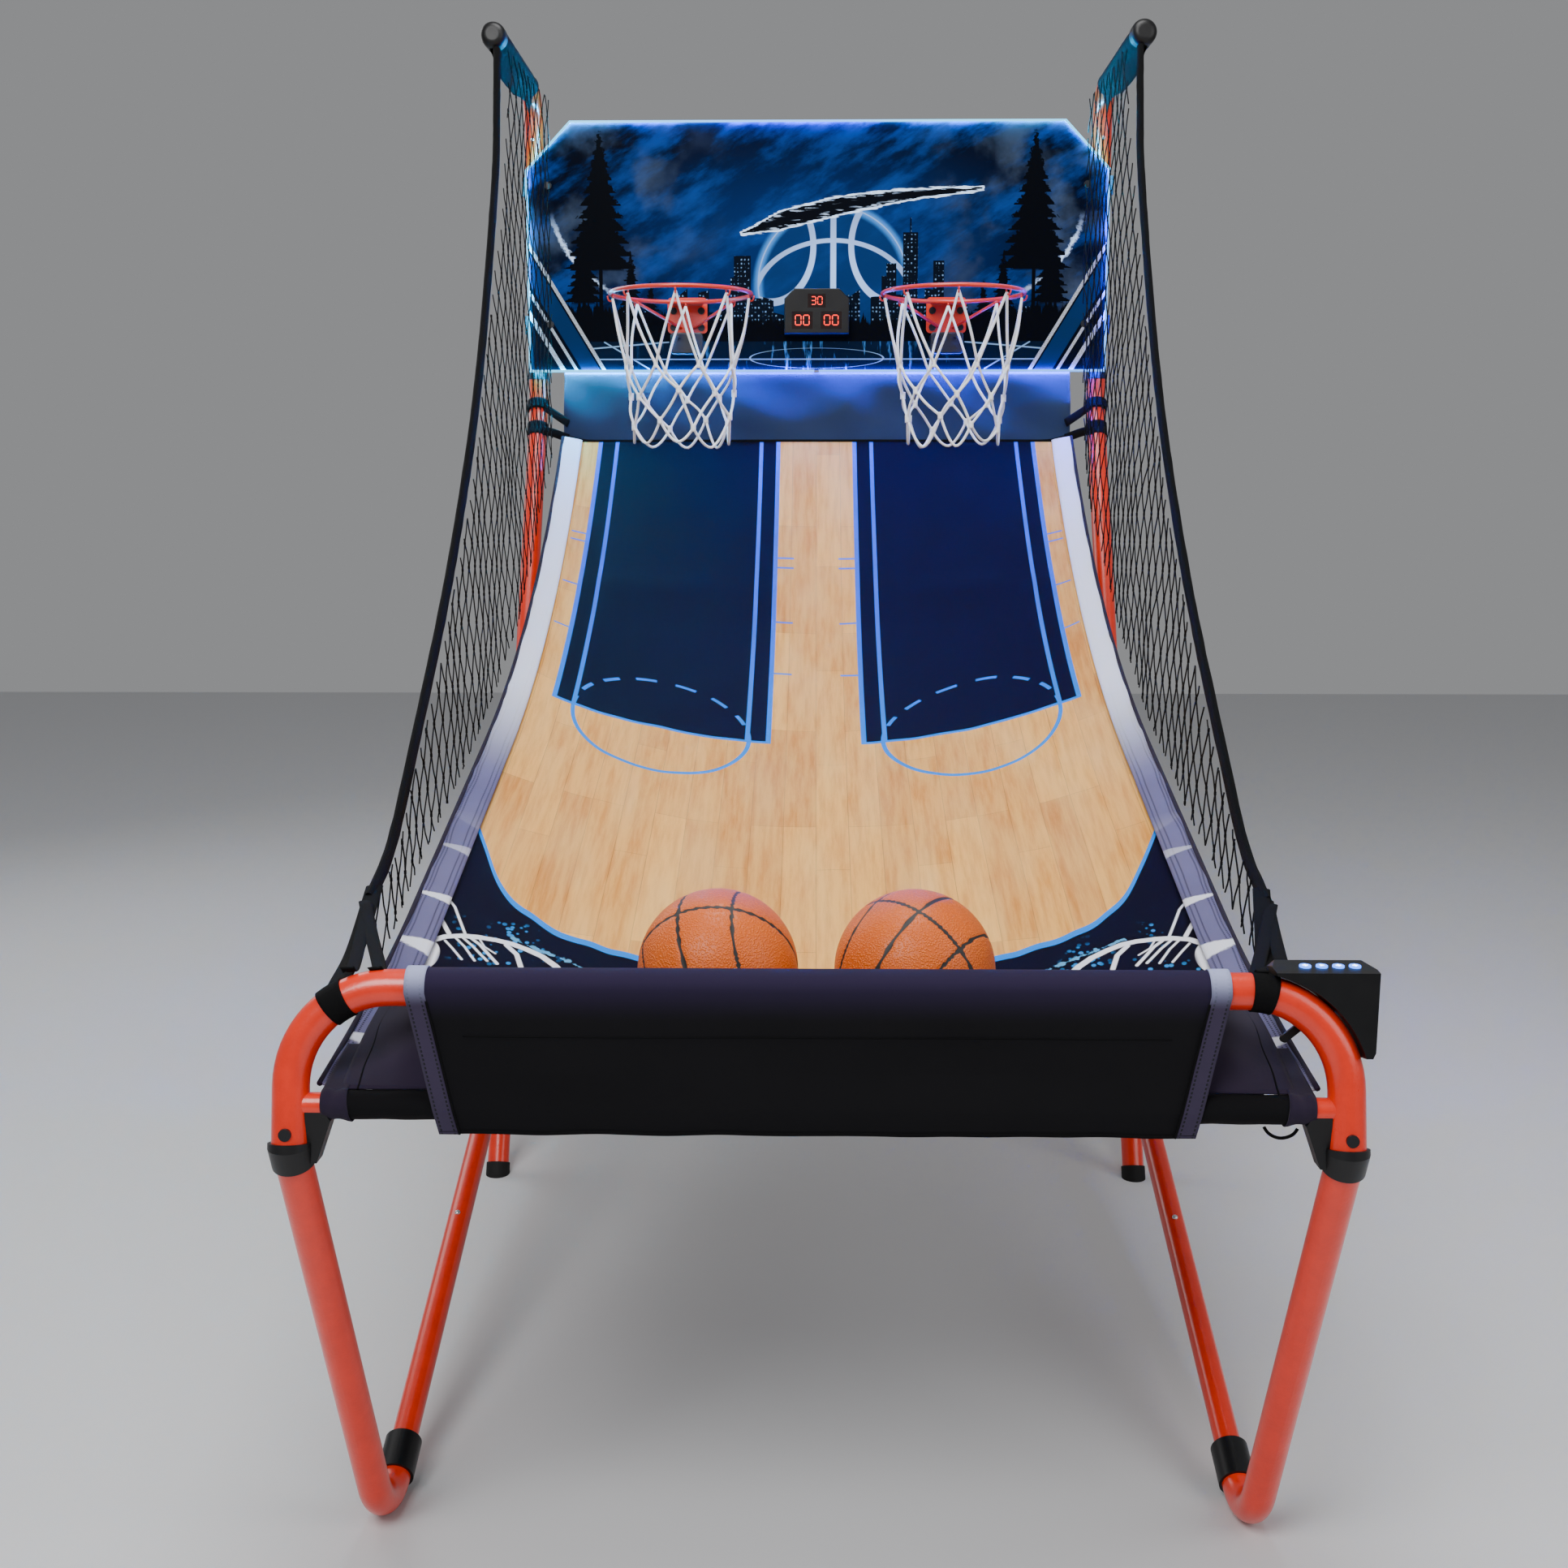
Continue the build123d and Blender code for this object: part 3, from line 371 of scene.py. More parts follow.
    def oval(self, u: Socket, v: Socket, centre: Sequence[float], radii: Sequence[float]) -> Socket:
        """Distance to an oval's edge in its first radius, below 0 inside it.

        Args:
            u: First coordinate.
            v: Second coordinate.
            centre: The oval's centre.
            radii: Its half width and half height.

        Returns:
            The distance's socket.
        """
        du = self.less(u, centre[0])
        dv = self.times(self.less(v, centre[1]), radii[0] / radii[1])
        length = self.math("SQRT", self.scaled(du, du, self.times(dv, dv)))
        return self.less(length, radii[0])


# ---- plain finishes
@dataclass(frozen=True)
class Finish:
    """A plain surface with fine relief and slight variation of colour and gloss."""

    name: str
    colour: Colour
    rough: float
    grain: float = 900.0
    depth: float = 0.00005
    patchy: float = 0.12
    metal: float = 0.0
    coat: float = 0.0
    sheen: float = 0.0
    shine: float = 0.5
    glow: float = 0.0
    glow_colour: Colour = (1.0, 1.0, 1.0)

    def make(self) -> bpy.types.Material:
        """The finish as a material."""
        g = Graph(self.name)
        broad = g.noise(9.0, 4.0)
        dark = tuple(c * (1.0 - self.patchy) for c in self.colour)
        light = tuple(min(1.0, c * (1.0 + self.patchy)) for c in self.colour)
        g.set(Base_Color=g.mix(broad, dark, light), Metallic=self.metal, Coat_Weight=self.coat)
        g.set(Roughness=g.scaled(g.noise(40.0), 0.16, self.rough - 0.08))
        g.set(Coat_Roughness=0.12, Sheen_Weight=self.sheen, Sheen_Roughness=0.5,
              Specular_IOR_Level=self.shine)
        if self.glow:
            g.set(Emission_Color=self.glow_colour, Emission_Strength=self.glow)
        g.bump(g.noise(self.grain, 2.0), self.depth)
        return g.material


@dataclass(frozen=True)
class Powder:
    """Orange-red powder coat, with the faint orange-peel relief of sprayed paint."""

    name: str = "orange_powder"
    colour: Colour = (0.78, 0.024, 0.001)

    def make(self) -> bpy.types.Material:
        """The paint as a material."""
        g = Graph(self.name)
        worn = g.ramp(g.noise(26.0, 5.0, rough=0.7), 0.3, 0.75)
        g.set(Base_Color=g.mix(worn, tuple(c * 0.86 for c in self.colour), self.colour))
        g.set(Roughness=g.scaled(g.noise(70.0), 0.14, 0.24))
        g.set(Coat_Weight=0.35, Coat_Roughness=0.15, Specular_IOR_Level=0.55)
        peel = g.scaled(g.noise(1400.0, 1.0), 0.3, g.noise(330.0, 1.0))
        g.bump(peel, 0.00016)
        return g.material


@dataclass(frozen=True)
class Weave:
    """Woven cloth, with crossing threads about half a millimetre wide and soft sheen."""

    name: str
    colour: Colour
    pitch: float = 0.0011
    depth: float = 0.00022
    rough: float = 0.78
    sheen: float = 0.25
    stitches: tuple[float, ...] = ()
    thread: Colour = (0.75, 0.75, 0.8)
    shine: float = 0.12
    # top_highlight is a painted highlight colour for the stretch of cloth over the top of the bar;
    # top_highlight_ends says where along the cut it fades out
    top_highlight: Optional[Colour] = None
    top_highlight_ends: tuple[float, float] = (0.045, 0.095)
    # lit_patches is the colour painted where the hem is lit; elsewhere the cloth keeps its darker colour, as
    # painted shade
    lit_patches: Optional[Colour] = None

    def make(self) -> bpy.types.Material:
        """The cloth as a material."""
        g = Graph(self.name)
        u, v = g.flat()
        turn = 2.0 * math.pi / self.pitch
        across = g.size(g.math("SINE", g.times(u, turn)))
        down = g.size(g.math("SINE", g.times(v, turn)))
        weave = g.times(across, down)
        fade = g.scaled(g.noise(14.0, 4.0), 0.35, 0.82)
        colour = g.mix(g.times(weave, 0.3), self.colour, tuple(c * 0.55 for c in self.colour))
        node = g.tree.nodes.new("ShaderNodeHueSaturation")
        g.feed(node.inputs["Color"], colour)
        g.feed(node.inputs["Value"], fade)
        colour = node.outputs[0]
        height = weave
        for spot in self.stitches:
            line = g.under(g.size(g.less(u, spot)), 0.0009, 0.0003)
            dash = g.ramp(g.math("SINE", g.times(v, 2.0 * math.pi / 0.0042)), -0.5, 0.0)
            stitch = g.times(line, dash)
            colour = g.mix(stitch, colour, self.thread)
            height = g.scaled(stitch, 1.6, height)
        # Painted light: the hem is drawn white only where it is lit, high on the ramp's curve and in streaks
        # near the front (the tied mask); elsewhere it keeps the darker colour, as painted shade
        if self.lit_patches:
            knot = g.scaled(g.noise(9.0, 1.0, g.join(0.0, v)), 0.14, v)
            away = g.size(g.less(g.math("FRACT", g.times(knot, 8.0)), 0.5))
            skew = g.scaled(g.noise(260.0, 2.0, g.join(u, v)), 0.05, g.scaled(u, 3.0, away))
            tied = g.times(g.under(skew, 0.17, 0.02), g.under(v, 0.62, 0.15))
            glare = g.most(g.ramp(v, 0.85, 1.3), tied)
            colour = g.mix(glare, colour, self.lit_patches)
        # Painted highlight: over the top of the bar the cloth's colour is swapped for the paler top_highlight
        # colour, as if lit from above
        if self.top_highlight:
            lit = g.less(1.0, g.ramp(v, self.top_highlight_ends[0], self.top_highlight_ends[1]))
            colour = g.mix(lit, colour, self.top_highlight)
        g.set(Base_Color=colour, Roughness=self.rough, Sheen_Weight=self.sheen, Sheen_Roughness=0.45)
        g.set(Specular_IOR_Level=self.shine)
        g.bump(height, self.depth)
        return g.material


# ---- printed and lit finishes
@dataclass(frozen=True)
class RampPrint:
    """Court print: maple planks, two dark keys with pale lines and dark front corners."""

    name: str = "court_print"
    navy: Colour = (0.0028, 0.0014, 0.008)
    line: Colour = (0.035, 0.12, 0.78)
    cyan: Colour = (0.0, 0.23, 0.82)
    key_foot: float = 1.03
    key_outer: float = 0.436
    key_inner: float = 0.0765
    lane: float = 0.034
    circle: tuple[float, float] = (0.147, 0.168)
    circle_x: float = 0.2545
    marks_inner: tuple[float, ...] = (1.29, 1.475, 1.66, 1.692)
    border: tuple[tuple[float, float], ...] = (
        (0.52, 0.64), (0.496, 0.596), (0.462, 0.525), (0.435, 0.469), (0.405, 0.42), (0.374, 0.386),
        (0.326, 0.355), (0.29, 0.34), (0.216, 0.319), (0.14, 0.29), (0.1, 0.262),
    )

    strokes: tuple[tuple[tuple[tuple[float, float], ...], float], ...] = (
        (((0.483, 0.385), (0.468, 0.368), (0.443, 0.318)), 0.0018), (((0.478, 0.335), (0.463, 0.312)), 0.003),
        (((0.388, 0.312), (0.372, 0.296), (0.362, 0.27)), 0.0032),
        (((0.455, 0.308), (0.438, 0.292), (0.42, 0.268)), 0.0016),
        (((0.446, 0.311), (0.428, 0.296), (0.405, 0.272)), 0.0018),
        (((0.434, 0.312), (0.42, 0.302), (0.392, 0.27)), 0.0022),
        (((0.464, 0.296), (0.452, 0.284), (0.436, 0.266)), 0.0016),
        (((0.424, 0.315), (0.414, 0.3), (0.398, 0.29)), 0.0012),
    )

    def make(self) -> bpy.types.Material:
        """The print as a material."""
        g = Graph(self.name)
        u, v = g.flat()
        side = g.size(u)
        colour = self.planks(g, u, v)
        colour = self.keys(g, side, v, colour)
        colour = self.corners(g, u, side, v, colour)
        turn = 2.0 * math.pi / 0.0012
        weave = g.times(g.math("SINE", g.times(u, turn)), g.math("SINE", g.times(v, turn)))
        below = g.tree.nodes.new("ShaderNodeAttribute")
        below.attribute_name = "under"
        colour = g.mix(g.ramp(below.outputs["Fac"], 0.4, 0.6), colour, (0.018, 0.017, 0.022))
        g.set(Base_Color=colour, Roughness=0.6, Specular_IOR_Level=0.06)
        g.bump(g.scaled(weave, 0.35, g.noise(16.0, 2.0)), 0.0011, 0.55)
        return g.material

    def planks(self, g: Graph, u: Socket, v: Socket) -> Socket:
        """Maple boards with grain that run up the ramp.

        Args:
            g: The material's graph.
            u: Place across.
            v: Place up the ramp.

        Returns:
            The colour so far.
        """
        brick = g.tree.nodes.new("ShaderNodeTexBrick")
        brick.offset, brick.offset_frequency, brick.squash = 0.37, 3, 1.0
        g.feed(brick.inputs["Vector"], g.join(v, u))
        for name, value in {"Scale": 1.0, "Mortar Size": 0.0005, "Mortar Smooth": 0.3, "Bias": 0.0,
                            "Brick Width": 0.36, "Row Height": 0.047}.items():
            brick.inputs[name].default_value = value
        g.feed(brick.inputs["Color1"], (0.92, 0.43, 0.08))
        g.feed(brick.inputs["Color2"], (0.6, 0.2, 0.022))
        g.feed(brick.inputs["Mortar"], (0.32, 0.09, 0.012))
        stretched = g.join(g.times(u, 90.0), g.times(v, 7.0))
        grain = g.noise(1.0, 5.0, stretched, 0.65)
        blotch = g.noise(3.0, 3.0, g.join(g.times(u, 5.0), v))
        tone = g.mix(g.ramp(grain, 0.35, 0.72), (1.0, 0.6, 0.19), (0.46, 0.14, 0.018))
        base = g.mix(0.36, brick.outputs["Color"], tone)
        return g.mix(g.times(g.ramp(blotch, 0.35, 0.75), 0.35), base, (1.0, 0.66, 0.25))

    def keys(self, g: Graph, side: Socket, v: Socket, colour: Socket) -> Socket:
        """The two dark keys with their lines, marks and half-dashed circles.

        Args:
            g: The material's graph.
            side: Distance from the ramp's middle.
            v: Place up the ramp.
            colour: The colour so far.

        Returns:
            The colour with the keys on it.
        """
        middle, half = (self.key_outer + self.key_inner) / 2, (self.key_outer - self.key_inner) / 2
        panel = g.box(side, v, (middle, self.key_foot + 1.0), (half, 1.0))
        colour = g.mix(g.under(panel, 0.0), colour, self.navy)
        edge = g.under(g.size(panel), 0.0042)
        inner = g.under(g.size(g.less(g.size(g.less(side, middle)),
                                                  half - self.lane)), 0.0038)
        inner = g.times(inner, g.ramp(v, self.key_foot, self.key_foot + 0.001))
        ring = g.oval(side, v, (self.circle_x, self.key_foot), self.circle)
        ring = g.under(g.size(ring), 0.0036)
        angle = g.math("ARCTAN2", g.less(v, self.key_foot), g.less(side, self.circle_x))
        dashes = g.ramp(g.math("SINE", g.times(angle, 15.0)), -0.25, 0.05)
        upper = g.ramp(v, self.key_foot, self.key_foot + 0.002)
        ring = g.times(ring, g.most(dashes, g.less(1.0, upper)))
        lines = g.most(g.most(edge, inner), ring)
        for mark in self.marks_inner:
            for x in (self.key_inner - 0.019, self.key_outer + 0.017):
                tick = g.under(g.box(side, v, (x, mark), (0.0155, 0.0026)), 0.0)
                lines = g.most(lines, tick)
        glow = g.mix(g.ramp(v, 0.9, 1.6), self.cyan, self.line)
        return g.mix(lines, colour, glow)

    def corners(self, g: Graph, u: Socket, side: Socket, v: Socket, colour: Socket) -> Socket:
        """The dark front corners with a cyan border, brushed rings and spatter.

        Args:
            g: The material's graph.
            u: Place across.
            side: Distance from the ramp's middle.
            v: Place up the ramp.
            colour: The colour so far.

        Returns:
            The finished colour.
        """
        curve = g.tree.nodes.new("ShaderNodeFloatCurve")
        points = curve.mapping.curves[0].points
        low, high = self.border[-1][0], self.border[0][0]
        spots = [((x - low) / (high - low), h) for x, h in reversed(self.border)]
        points[0].location, points[1].location = spots[0], spots[-1]
        for spot in spots[1:-1]:
            points.new(*spot)
        curve.mapping.update()
        g.feed(curve.inputs["Value"], g.ramp(side, low, high, smooth=False))
        wobble = g.scaled(g.noise(13.0, 1.0, g.join(u, 0.0)), 0.03, -0.015)
        height = g.less(v, g.plus(curve.outputs[0], wobble))
        reach = g.ramp(side, low, low + 0.02)
        colour = g.mix(g.times(g.under(height, 0.0), reach), colour, self.navy)
        band = g.times(g.under(g.size(height), 0.0062), reach)
        colour = g.mix(band, colour, self.cyan)
        drops = g.cells(95.0, g.join(u, v))
        near = g.times(g.ramp(side, 0.27, 0.33),
                       g.times(g.under(height, -0.02, 0.01), g.under(v, 0.37, 0.02)))
        patch = g.ramp(g.noise(11.0, 3.0, g.join(u, v)), 0.5, 0.6)
        spatter = g.times(g.times(g.under(drops, 0.3, 0.06), near), patch)
        colour = g.mix(spatter, colour, (0.02, 0.24, 0.62))
        sweep = g.polyline(side, v,
                           ((0.262, 0.272), (0.29, 0.287), (0.315, 0.3), (0.345, 0.312), (0.385, 0.328)))
        ragged = g.scaled(g.noise(70.0, 3.0, g.join(u, v)), 0.024, -0.0105)
        colour = g.mix(g.under(g.less(sweep, ragged), 0.0, 0.001), colour, (0.1, 0.36, 0.62))
        arc = g.polyline(side, v,
                         ((0.492, 0.276), (0.482, 0.29), (0.465, 0.3045), (0.445, 0.313), (0.425, 0.317),
                          (0.402, 0.3185), (0.382, 0.3165), (0.36, 0.309),
                                   (0.34, 0.299), (0.322, 0.284), (0.312, 0.272)))
        white = g.under(g.scaled(g.noise(30.0, 2.0, g.join(side, v)), -0.0022, arc), 0.0032)
        white = g.most(white, g.times(g.ramp(side, 0.462, 0.47),
                                      g.under(g.oval(side, v, (0.49, 0.262), (0.026, 0.034)), 0.0)))
        for stroke, half in self.strokes:
            white = g.most(white, g.under(g.polyline(side, v, stroke), half))
        white = g.times(white, g.under(height, -0.012, 0.002))
        return g.mix(white, colour, (0.88, 0.88, 0.92))


@dataclass(frozen=True)
class BoardPrint:
    """Night court print: clouded blue sky, pines, a far skyline, a floor line and corner bands."""

    name: str = "board_print"
    front_y: float = 0.967
    low: float = 1.466
    high: float = 1.947
    skyline: float = 1.6
    floor: float = 1.522
    ball_x: float = 0.033

    def make(self) -> bpy.types.Material:
        """The print as a material, with a painted glow on its front."""
        g = Graph(self.name)
        x, y, z = g.place()
        side = g.size(x)
        colour = self.sky(g, x, side, z)
        colour = self.brush(g, x, z, self.ball(g, x, z, colour))
        colour = self.town(g, x, z, colour)
        colour = self.pines(g, side, z, colour)
        colour = self.court(g, x, side, z, colour)
        colour = self.bands(g, side, z, colour)
        front = g.under(y, self.front_y, 0.0005)
        colour = g.mix(front, (0.05, 0.03, 0.02), colour)
        g.set(Base_Color=colour, Roughness=0.5, Specular_IOR_Level=0.03)
        # Painted glow: the printed front emits its own colour at strength 1.5, though the board is no lamp
        g.set(Emission_Color=colour, Emission_Strength=g.times(front, 1.5))
        g.bump(g.noise(600.0, 2.0), 0.00004)
        return g.material

    def sky(self, g: Graph, x: Socket, side: Socket, z: Socket) -> Socket:
        """Streaked clouds, dark above and blue about the middle.

        Args:
            g: The material's graph.
            x: Place across.
            side: Distance from the middle.
            z: Height.

        Returns:
            The colour so far.
        """
        lean = g.join(g.scaled(z, 6.0, g.times(x, 4.0)),
                      g.scaled(z, 14.0, g.times(x, -9.0)))
        streak = g.ramp(g.noise(1.0, 6.0, lean, 0.62), 0.42, 0.7)
        puff = g.ramp(g.noise(9.0, 5.0, g.join(x, z)), 0.45, 0.68)
        away = g.oval(x, z, (0.0, 1.7), (0.5, 0.22))
        lit = g.less(1.0, g.ramp(away, -0.42, 0.12))
        base = g.mix(lit, (0.0002, 0.0006, 0.003), (0.0008, 0.009, 0.048))
        base = g.mix(g.times(streak, 0.6), base, (0.002, 0.03, 0.15))
        grey = g.times(puff, g.ramp(side, 0.12, 0.45))
        base = g.mix(g.times(grey, 0.55), base, (0.03, 0.045, 0.075))
        sweep = g.size(g.oval(side, z, (0.2, 1.8), (0.335, 0.235)))
        sweep = g.times(g.under(g.less(sweep, g.times(g.noise(70.0, 5.0, g.join(x, z), 0.75), 0.03)),
                                -0.0115, 0.004),
                       g.times(g.ramp(side, 0.36, 0.5), g.under(z, 1.74, 0.04)))
        base = g.mix(g.times(sweep, 0.7), base, (0.45, 0.6, 0.85))
        return base

    def ball(self, g: Graph, x: Socket, z: Socket, colour: Socket) -> Socket:
        """An outlined ball behind the skyline.

        Args:
            g: The material's graph.
            x: Place across.
            z: Height.
            colour: The colour so far.

        Returns:
            The colour with the ball on it.
        """
        disc = g.oval(x, z, (self.ball_x, 1.634), (0.151, 0.151))
        inside = g.under(disc, 0.0)
        colour = g.mix(g.times(inside, 0.6), colour, (0.002, 0.016, 0.06))
        halo = g.less(1.0, g.ramp(g.size(disc), 0.0, 0.014))
        colour = g.mix(g.times(halo, 0.55), colour, (0.05, 0.22, 0.6))
        seams = g.size(g.less(x, self.ball_x))
        seams = g.least(seams, g.size(g.oval(x, z, (self.ball_x, 1.6), (0.16, 0.1197))))
        for at in (-0.125, 0.121):
            seams = g.least(seams, g.size(g.oval(x, z, (self.ball_x + at, 1.709), (0.085, 0.11))))
        marks = g.times(g.under(seams, 0.0058), inside)
        marks = g.most(marks, g.under(g.size(disc), 0.0012))
        silver = g.mix(g.ramp(disc, -0.13, 0.0), (0.26, 0.42, 0.75), (0.16, 0.24, 0.42))
        return g.mix(g.times(marks, 0.85), colour, silver)

    def brush(self, g: Graph, x: Socket, z: Socket, colour: Socket) -> Socket:
        """A broad dark brush stroke with a pale ragged edge.

        Args:
            g: The material's graph.
            x: Place across.
            z: Height.
            colour: The colour so far.

        Returns:
            The colour with the stroke on it.
        """
        stroke = g.polyline(x, z,
                            ((-0.15, 1.734), (-0.06, 1.762), (0.05, 1.788), (0.17, 1.806), (0.33, 1.82)))
        rag = g.noise(1.0, 4.0, g.join(g.times(x, 30.0), g.times(z, 240.0)))
        taper = g.times(g.ramp(x, -0.16, -0.06), g.less(1.0, g.ramp(x, 0.05, 0.34, smooth=False)))
        broad = g.scaled(taper, 0.015, g.scaled(rag, 0.014, -0.0045))
        gap = g.less(stroke, broad)
        colour = g.mix(g.under(gap, 0.0018, 0.0008), colour, (0.42, 0.55, 0.75))
        split = g.times(g.ramp(rag, 0.56, 0.6), g.ramp(g.size(stroke), 0.004, 0.01))
        return g.mix(g.times(g.under(gap, -0.0016, 0.0008), g.less(1.0, g.times(split, 0.5))), colour,
                     (0.0006, 0.001, 0.0025))

    def town(self, g: Graph, x: Socket, z: Socket, colour: Socket) -> Socket:
        """A made-up skyline with a few lit windows.

        Args:
            g: The material's graph.
            x: Place across.
            z: Height.
            colour: The colour so far.

        Returns:
            The colour with the towers on it.
        """
        block = g.math("FLOOR", g.times(x, 46.0))
        white = g.tree.nodes.new("ShaderNodeTexWhiteNoise")
        white.noise_dimensions = "1D"
        g.feed(white.inputs["W"], block)
        near = g.under(g.size(g.less(g.size(x), 0.17)), 0.1, 0.05)
        top = g.scaled(white.outputs["Value"], 0.045, 1.553)
        top = g.scaled(near, g.times(white.outputs["Value"], 0.06), top)
        body = g.times(g.under(g.less(z, top), 0.0, 0.0006), g.under(g.size(x), 0.44, 0.02))
        for cx, hw, hz in ((0.188, 0.015, 1.735), (-0.15, 0.017, 1.69), (0.15, 0.01, 1.675),
                           (0.245, 0.011, 1.68)):
            tower = g.under(g.box(x, z, (cx, (1.52 + hz) / 2), (hw, (hz - 1.52) / 2)), 0.0, 0.0006)
            body = g.most(body, tower)
        body = g.most(body, g.under(g.segment(x, z, (0.188, 1.73), (0.188, 1.762)), 0.0016))
        colour = g.mix(body, colour, (0.0006, 0.0018, 0.005))
        panes = g.times(g.ramp(g.math("SINE", g.times(x, 900.0)), 0.1, 0.4),
                       g.ramp(g.math("SINE", g.times(z, 800.0)), 0.1, 0.4))
        some = g.ramp(g.noise(130.0, 1.0, g.join(x, z)), 0.5, 0.6)
        return g.mix(g.times(g.times(panes, some), g.times(body, 0.6)), colour, (0.12, 0.24, 0.44))

    def pines(self, g: Graph, side: Socket, z: Socket, colour: Socket) -> Socket:
        """Dark pines towards both ends, with low woods between them.

        Args:
            g: The material's graph.
            side: Distance from the middle.
            z: Height.
            colour: The colour so far.

        Returns:
            The colour with the trees on it.
        """
        trees = None
        for cx, foot, tip, half in ((0.4356, 1.665, 1.935, 0.075), (0.47, 1.6, 1.77, 0.04),
                                    (0.375, 1.57, 1.7, 0.03), (0.335, 1.56, 1.64, 0.024)):
            share = g.math("DIVIDE", g.less(tip, z), tip - foot)
            saw = g.math("FRACT", g.times(share, 11.0))
            width = g.times(g.scaled(saw, 0.42, 0.58), g.times(share, half))
            frayed = g.scaled(g.noise(150.0, 3.0, g.join(side, z)), 0.024, -0.012)
            away = g.less(g.size(g.less(side, cx)), g.plus(width, frayed))
            one = g.times(g.under(away, 0.0, 0.0012),
                          g.times(g.under(z, tip, 0.001), g.ramp(z, foot - 0.006, foot)))
            trunk = g.under(g.segment(side, z, (cx, 1.53), (cx, foot + 0.02)), 0.0038)
            one = g.most(one, trunk)
            trees = one if trees is None else g.most(trees, one)
        woods = g.scaled(g.noise(1.0, 5.0, g.join(g.times(side, 60.0), 0.0), 0.8), 0.12, 1.505)
        woods = g.scaled(g.ramp(side, 0.22, 0.5), 0.028, woods)
        trees = g.most(trees, g.under(g.less(z, woods), 0.0, 0.001))
        return g.mix(trees, colour, (0.0003, 0.0006, 0.0015))

    def court(self, g: Graph, x: Socket, side: Socket, z: Socket, colour: Socket) -> Socket:
        """The glossy floor below, with mirrored lights and pale lines.

        Args:
            g: The material's graph.
            x: Place across.
            side: Distance from the middle.
            z: Height.
            colour: The colour so far.

        Returns:
            The colour with the floor on it.
        """
        lights = g.noise(1.0, 4.0, g.join(g.times(x, 60.0), g.times(z, 9.0)), 0.7)
        middle = g.less(1.0, g.ramp(side, 0.05, 0.42))
        shine = g.times(g.ramp(lights, 0.56, 0.78), middle)
        floor = g.mix(shine, (0.0006, 0.003, 0.009), (0.05, 0.22, 0.55))
        colour = g.mix(g.under(z, self.floor, 0.001), colour, floor)
        lines = g.under(g.size(g.oval(x, z, (0.0, 1.489), (0.135, 0.02))), 0.0018)
        lines = g.most(lines, g.under(g.segment(side, z, (0.0, 1.487), (0.58, 1.487)), 0.001))
        lines = g.most(lines, g.under(g.segment(side, z, (0.34, 1.468), (0.43, 1.521)), 0.0012))
        lines = g.most(lines, g.under(g.segment(side, z, (0.3, 1.521), (0.58, 1.498)), 0.0012))
        lines = g.times(lines, g.under(z, self.floor, 0.001))
        return g.mix(g.times(lines, 0.5), colour, (0.2, 0.36, 0.55))

    def bands(self, g: Graph, side: Socket, z: Socket, colour: Socket) -> Socket:
        """Silver bands across the lower corners and lines along the sloping ones.

        Args:
            g: The material's graph.
            side: Distance from the middle.
            z: Height.
            colour: The colour so far.

        Returns:
            The finished colour.
        """
        base = g.ramp(g.noise(500.0, 1.0, g.join(side, z)), 0.3, 0.7)
        silver = g.mix(base, (0.11, 0.12, 0.13), (0.24, 0.25, 0.27))
        low = g.less(g.times(g.less(side, 0.43), 1.64), g.less(z, 1.47))
        corner = g.ramp(low, -0.0005, 0.0005)
        inner = g.times(g.ramp(low, 0.018, 0.02), g.under(low, 0.08, 0.002))
        colour = g.mix(corner, colour, g.mix(inner, (0.0005, 0.001, 0.003), (0.0012, 0.01, 0.036)))
        for at, half in ((0.006, 0.0065), (0.098, 0.0055), (0.142, 0.0085)):
            stripe = g.under(g.size(g.less(low, at)), half)
            colour = g.mix(stripe, colour, silver)
        high = g.less(g.plus(side, z), 2.352)
        for at, half in ((0.104, 0.0065),):
            stripe = g.under(g.size(g.less(high, at)), half)
            colour = g.mix(stripe, colour, silver)
        return colour


@dataclass(frozen=True)
class LedGlow:
    """The lit edge strip, cyan on the left and upper right and deep blue between."""

    name: str = "led_glow"
    strength: float = 300.0

    def make(self) -> bpy.types.Material:
        """The lit strip as a material."""
        g = Graph(self.name)
        x, _, z = g.place()
        left = g.under(x, -0.3, 0.25)
        right = g.times(g.ramp(x, 0.0, 0.25), g.ramp(z, 1.72, 1.9))
        share = g.least(g.plus(left, right), 1.0)
        colour = g.mix(share, (0.01, 0.04, 1.0), (0.0, 0.5, 1.0))
        seen = g.tree.nodes.new("ShaderNodeLightPath").outputs["Is Camera Ray"]
        face = g.mix(seen, colour, g.mix(0.3, colour, (0.1, 0.85, 1.0)))
        power = g.scaled(seen, 1.7 - self.strength, self.strength)
        g.set(Base_Color=(0.2, 0.4, 0.6), Roughness=0.4, Emission_Color=face, Emission_Strength=power)
        g.bump(g.noise(300.0), 0.0001)
        return g.material


@dataclass(frozen=True)
class BallRubber:
    """Pebbled orange rubber with painted shade between the pebbles, black where the mesh marks a seam."""

    name: str

    def make(self) -> bpy.types.Material:
        """The rubber as a material."""
        g = Graph(self.name)
        seam = g.tree.nodes.new("ShaderNodeAttribute")
        seam.attribute_name = "seam"
        mask = g.ramp(seam.outputs["Fac"], 0.35, 0.65)
        pebble = g.under(g.cells(430.0), 0.42, 0.16)
        tone = g.noise(18.0, 4.0)
        skin = g.mix(tone, (0.7, 0.115, 0.003), (0.84, 0.175, 0.006))
        # Painted shade: the gaps between pebbles are mixed towards a darker red
        skin = g.mix(g.times(g.less(1.0, pebble), 0.45), skin, (0.42, 0.052, 0.002))
        g.set(Base_Color=g.mix(mask, skin, (0.012, 0.011, 0.011)))
        g.set(Roughness=g.scaled(mask, 0.12, 0.44), Specular_IOR_Level=0.45)
        g.bump(g.times(pebble, g.less(1.0, mask)), 0.0006)
        return g.material


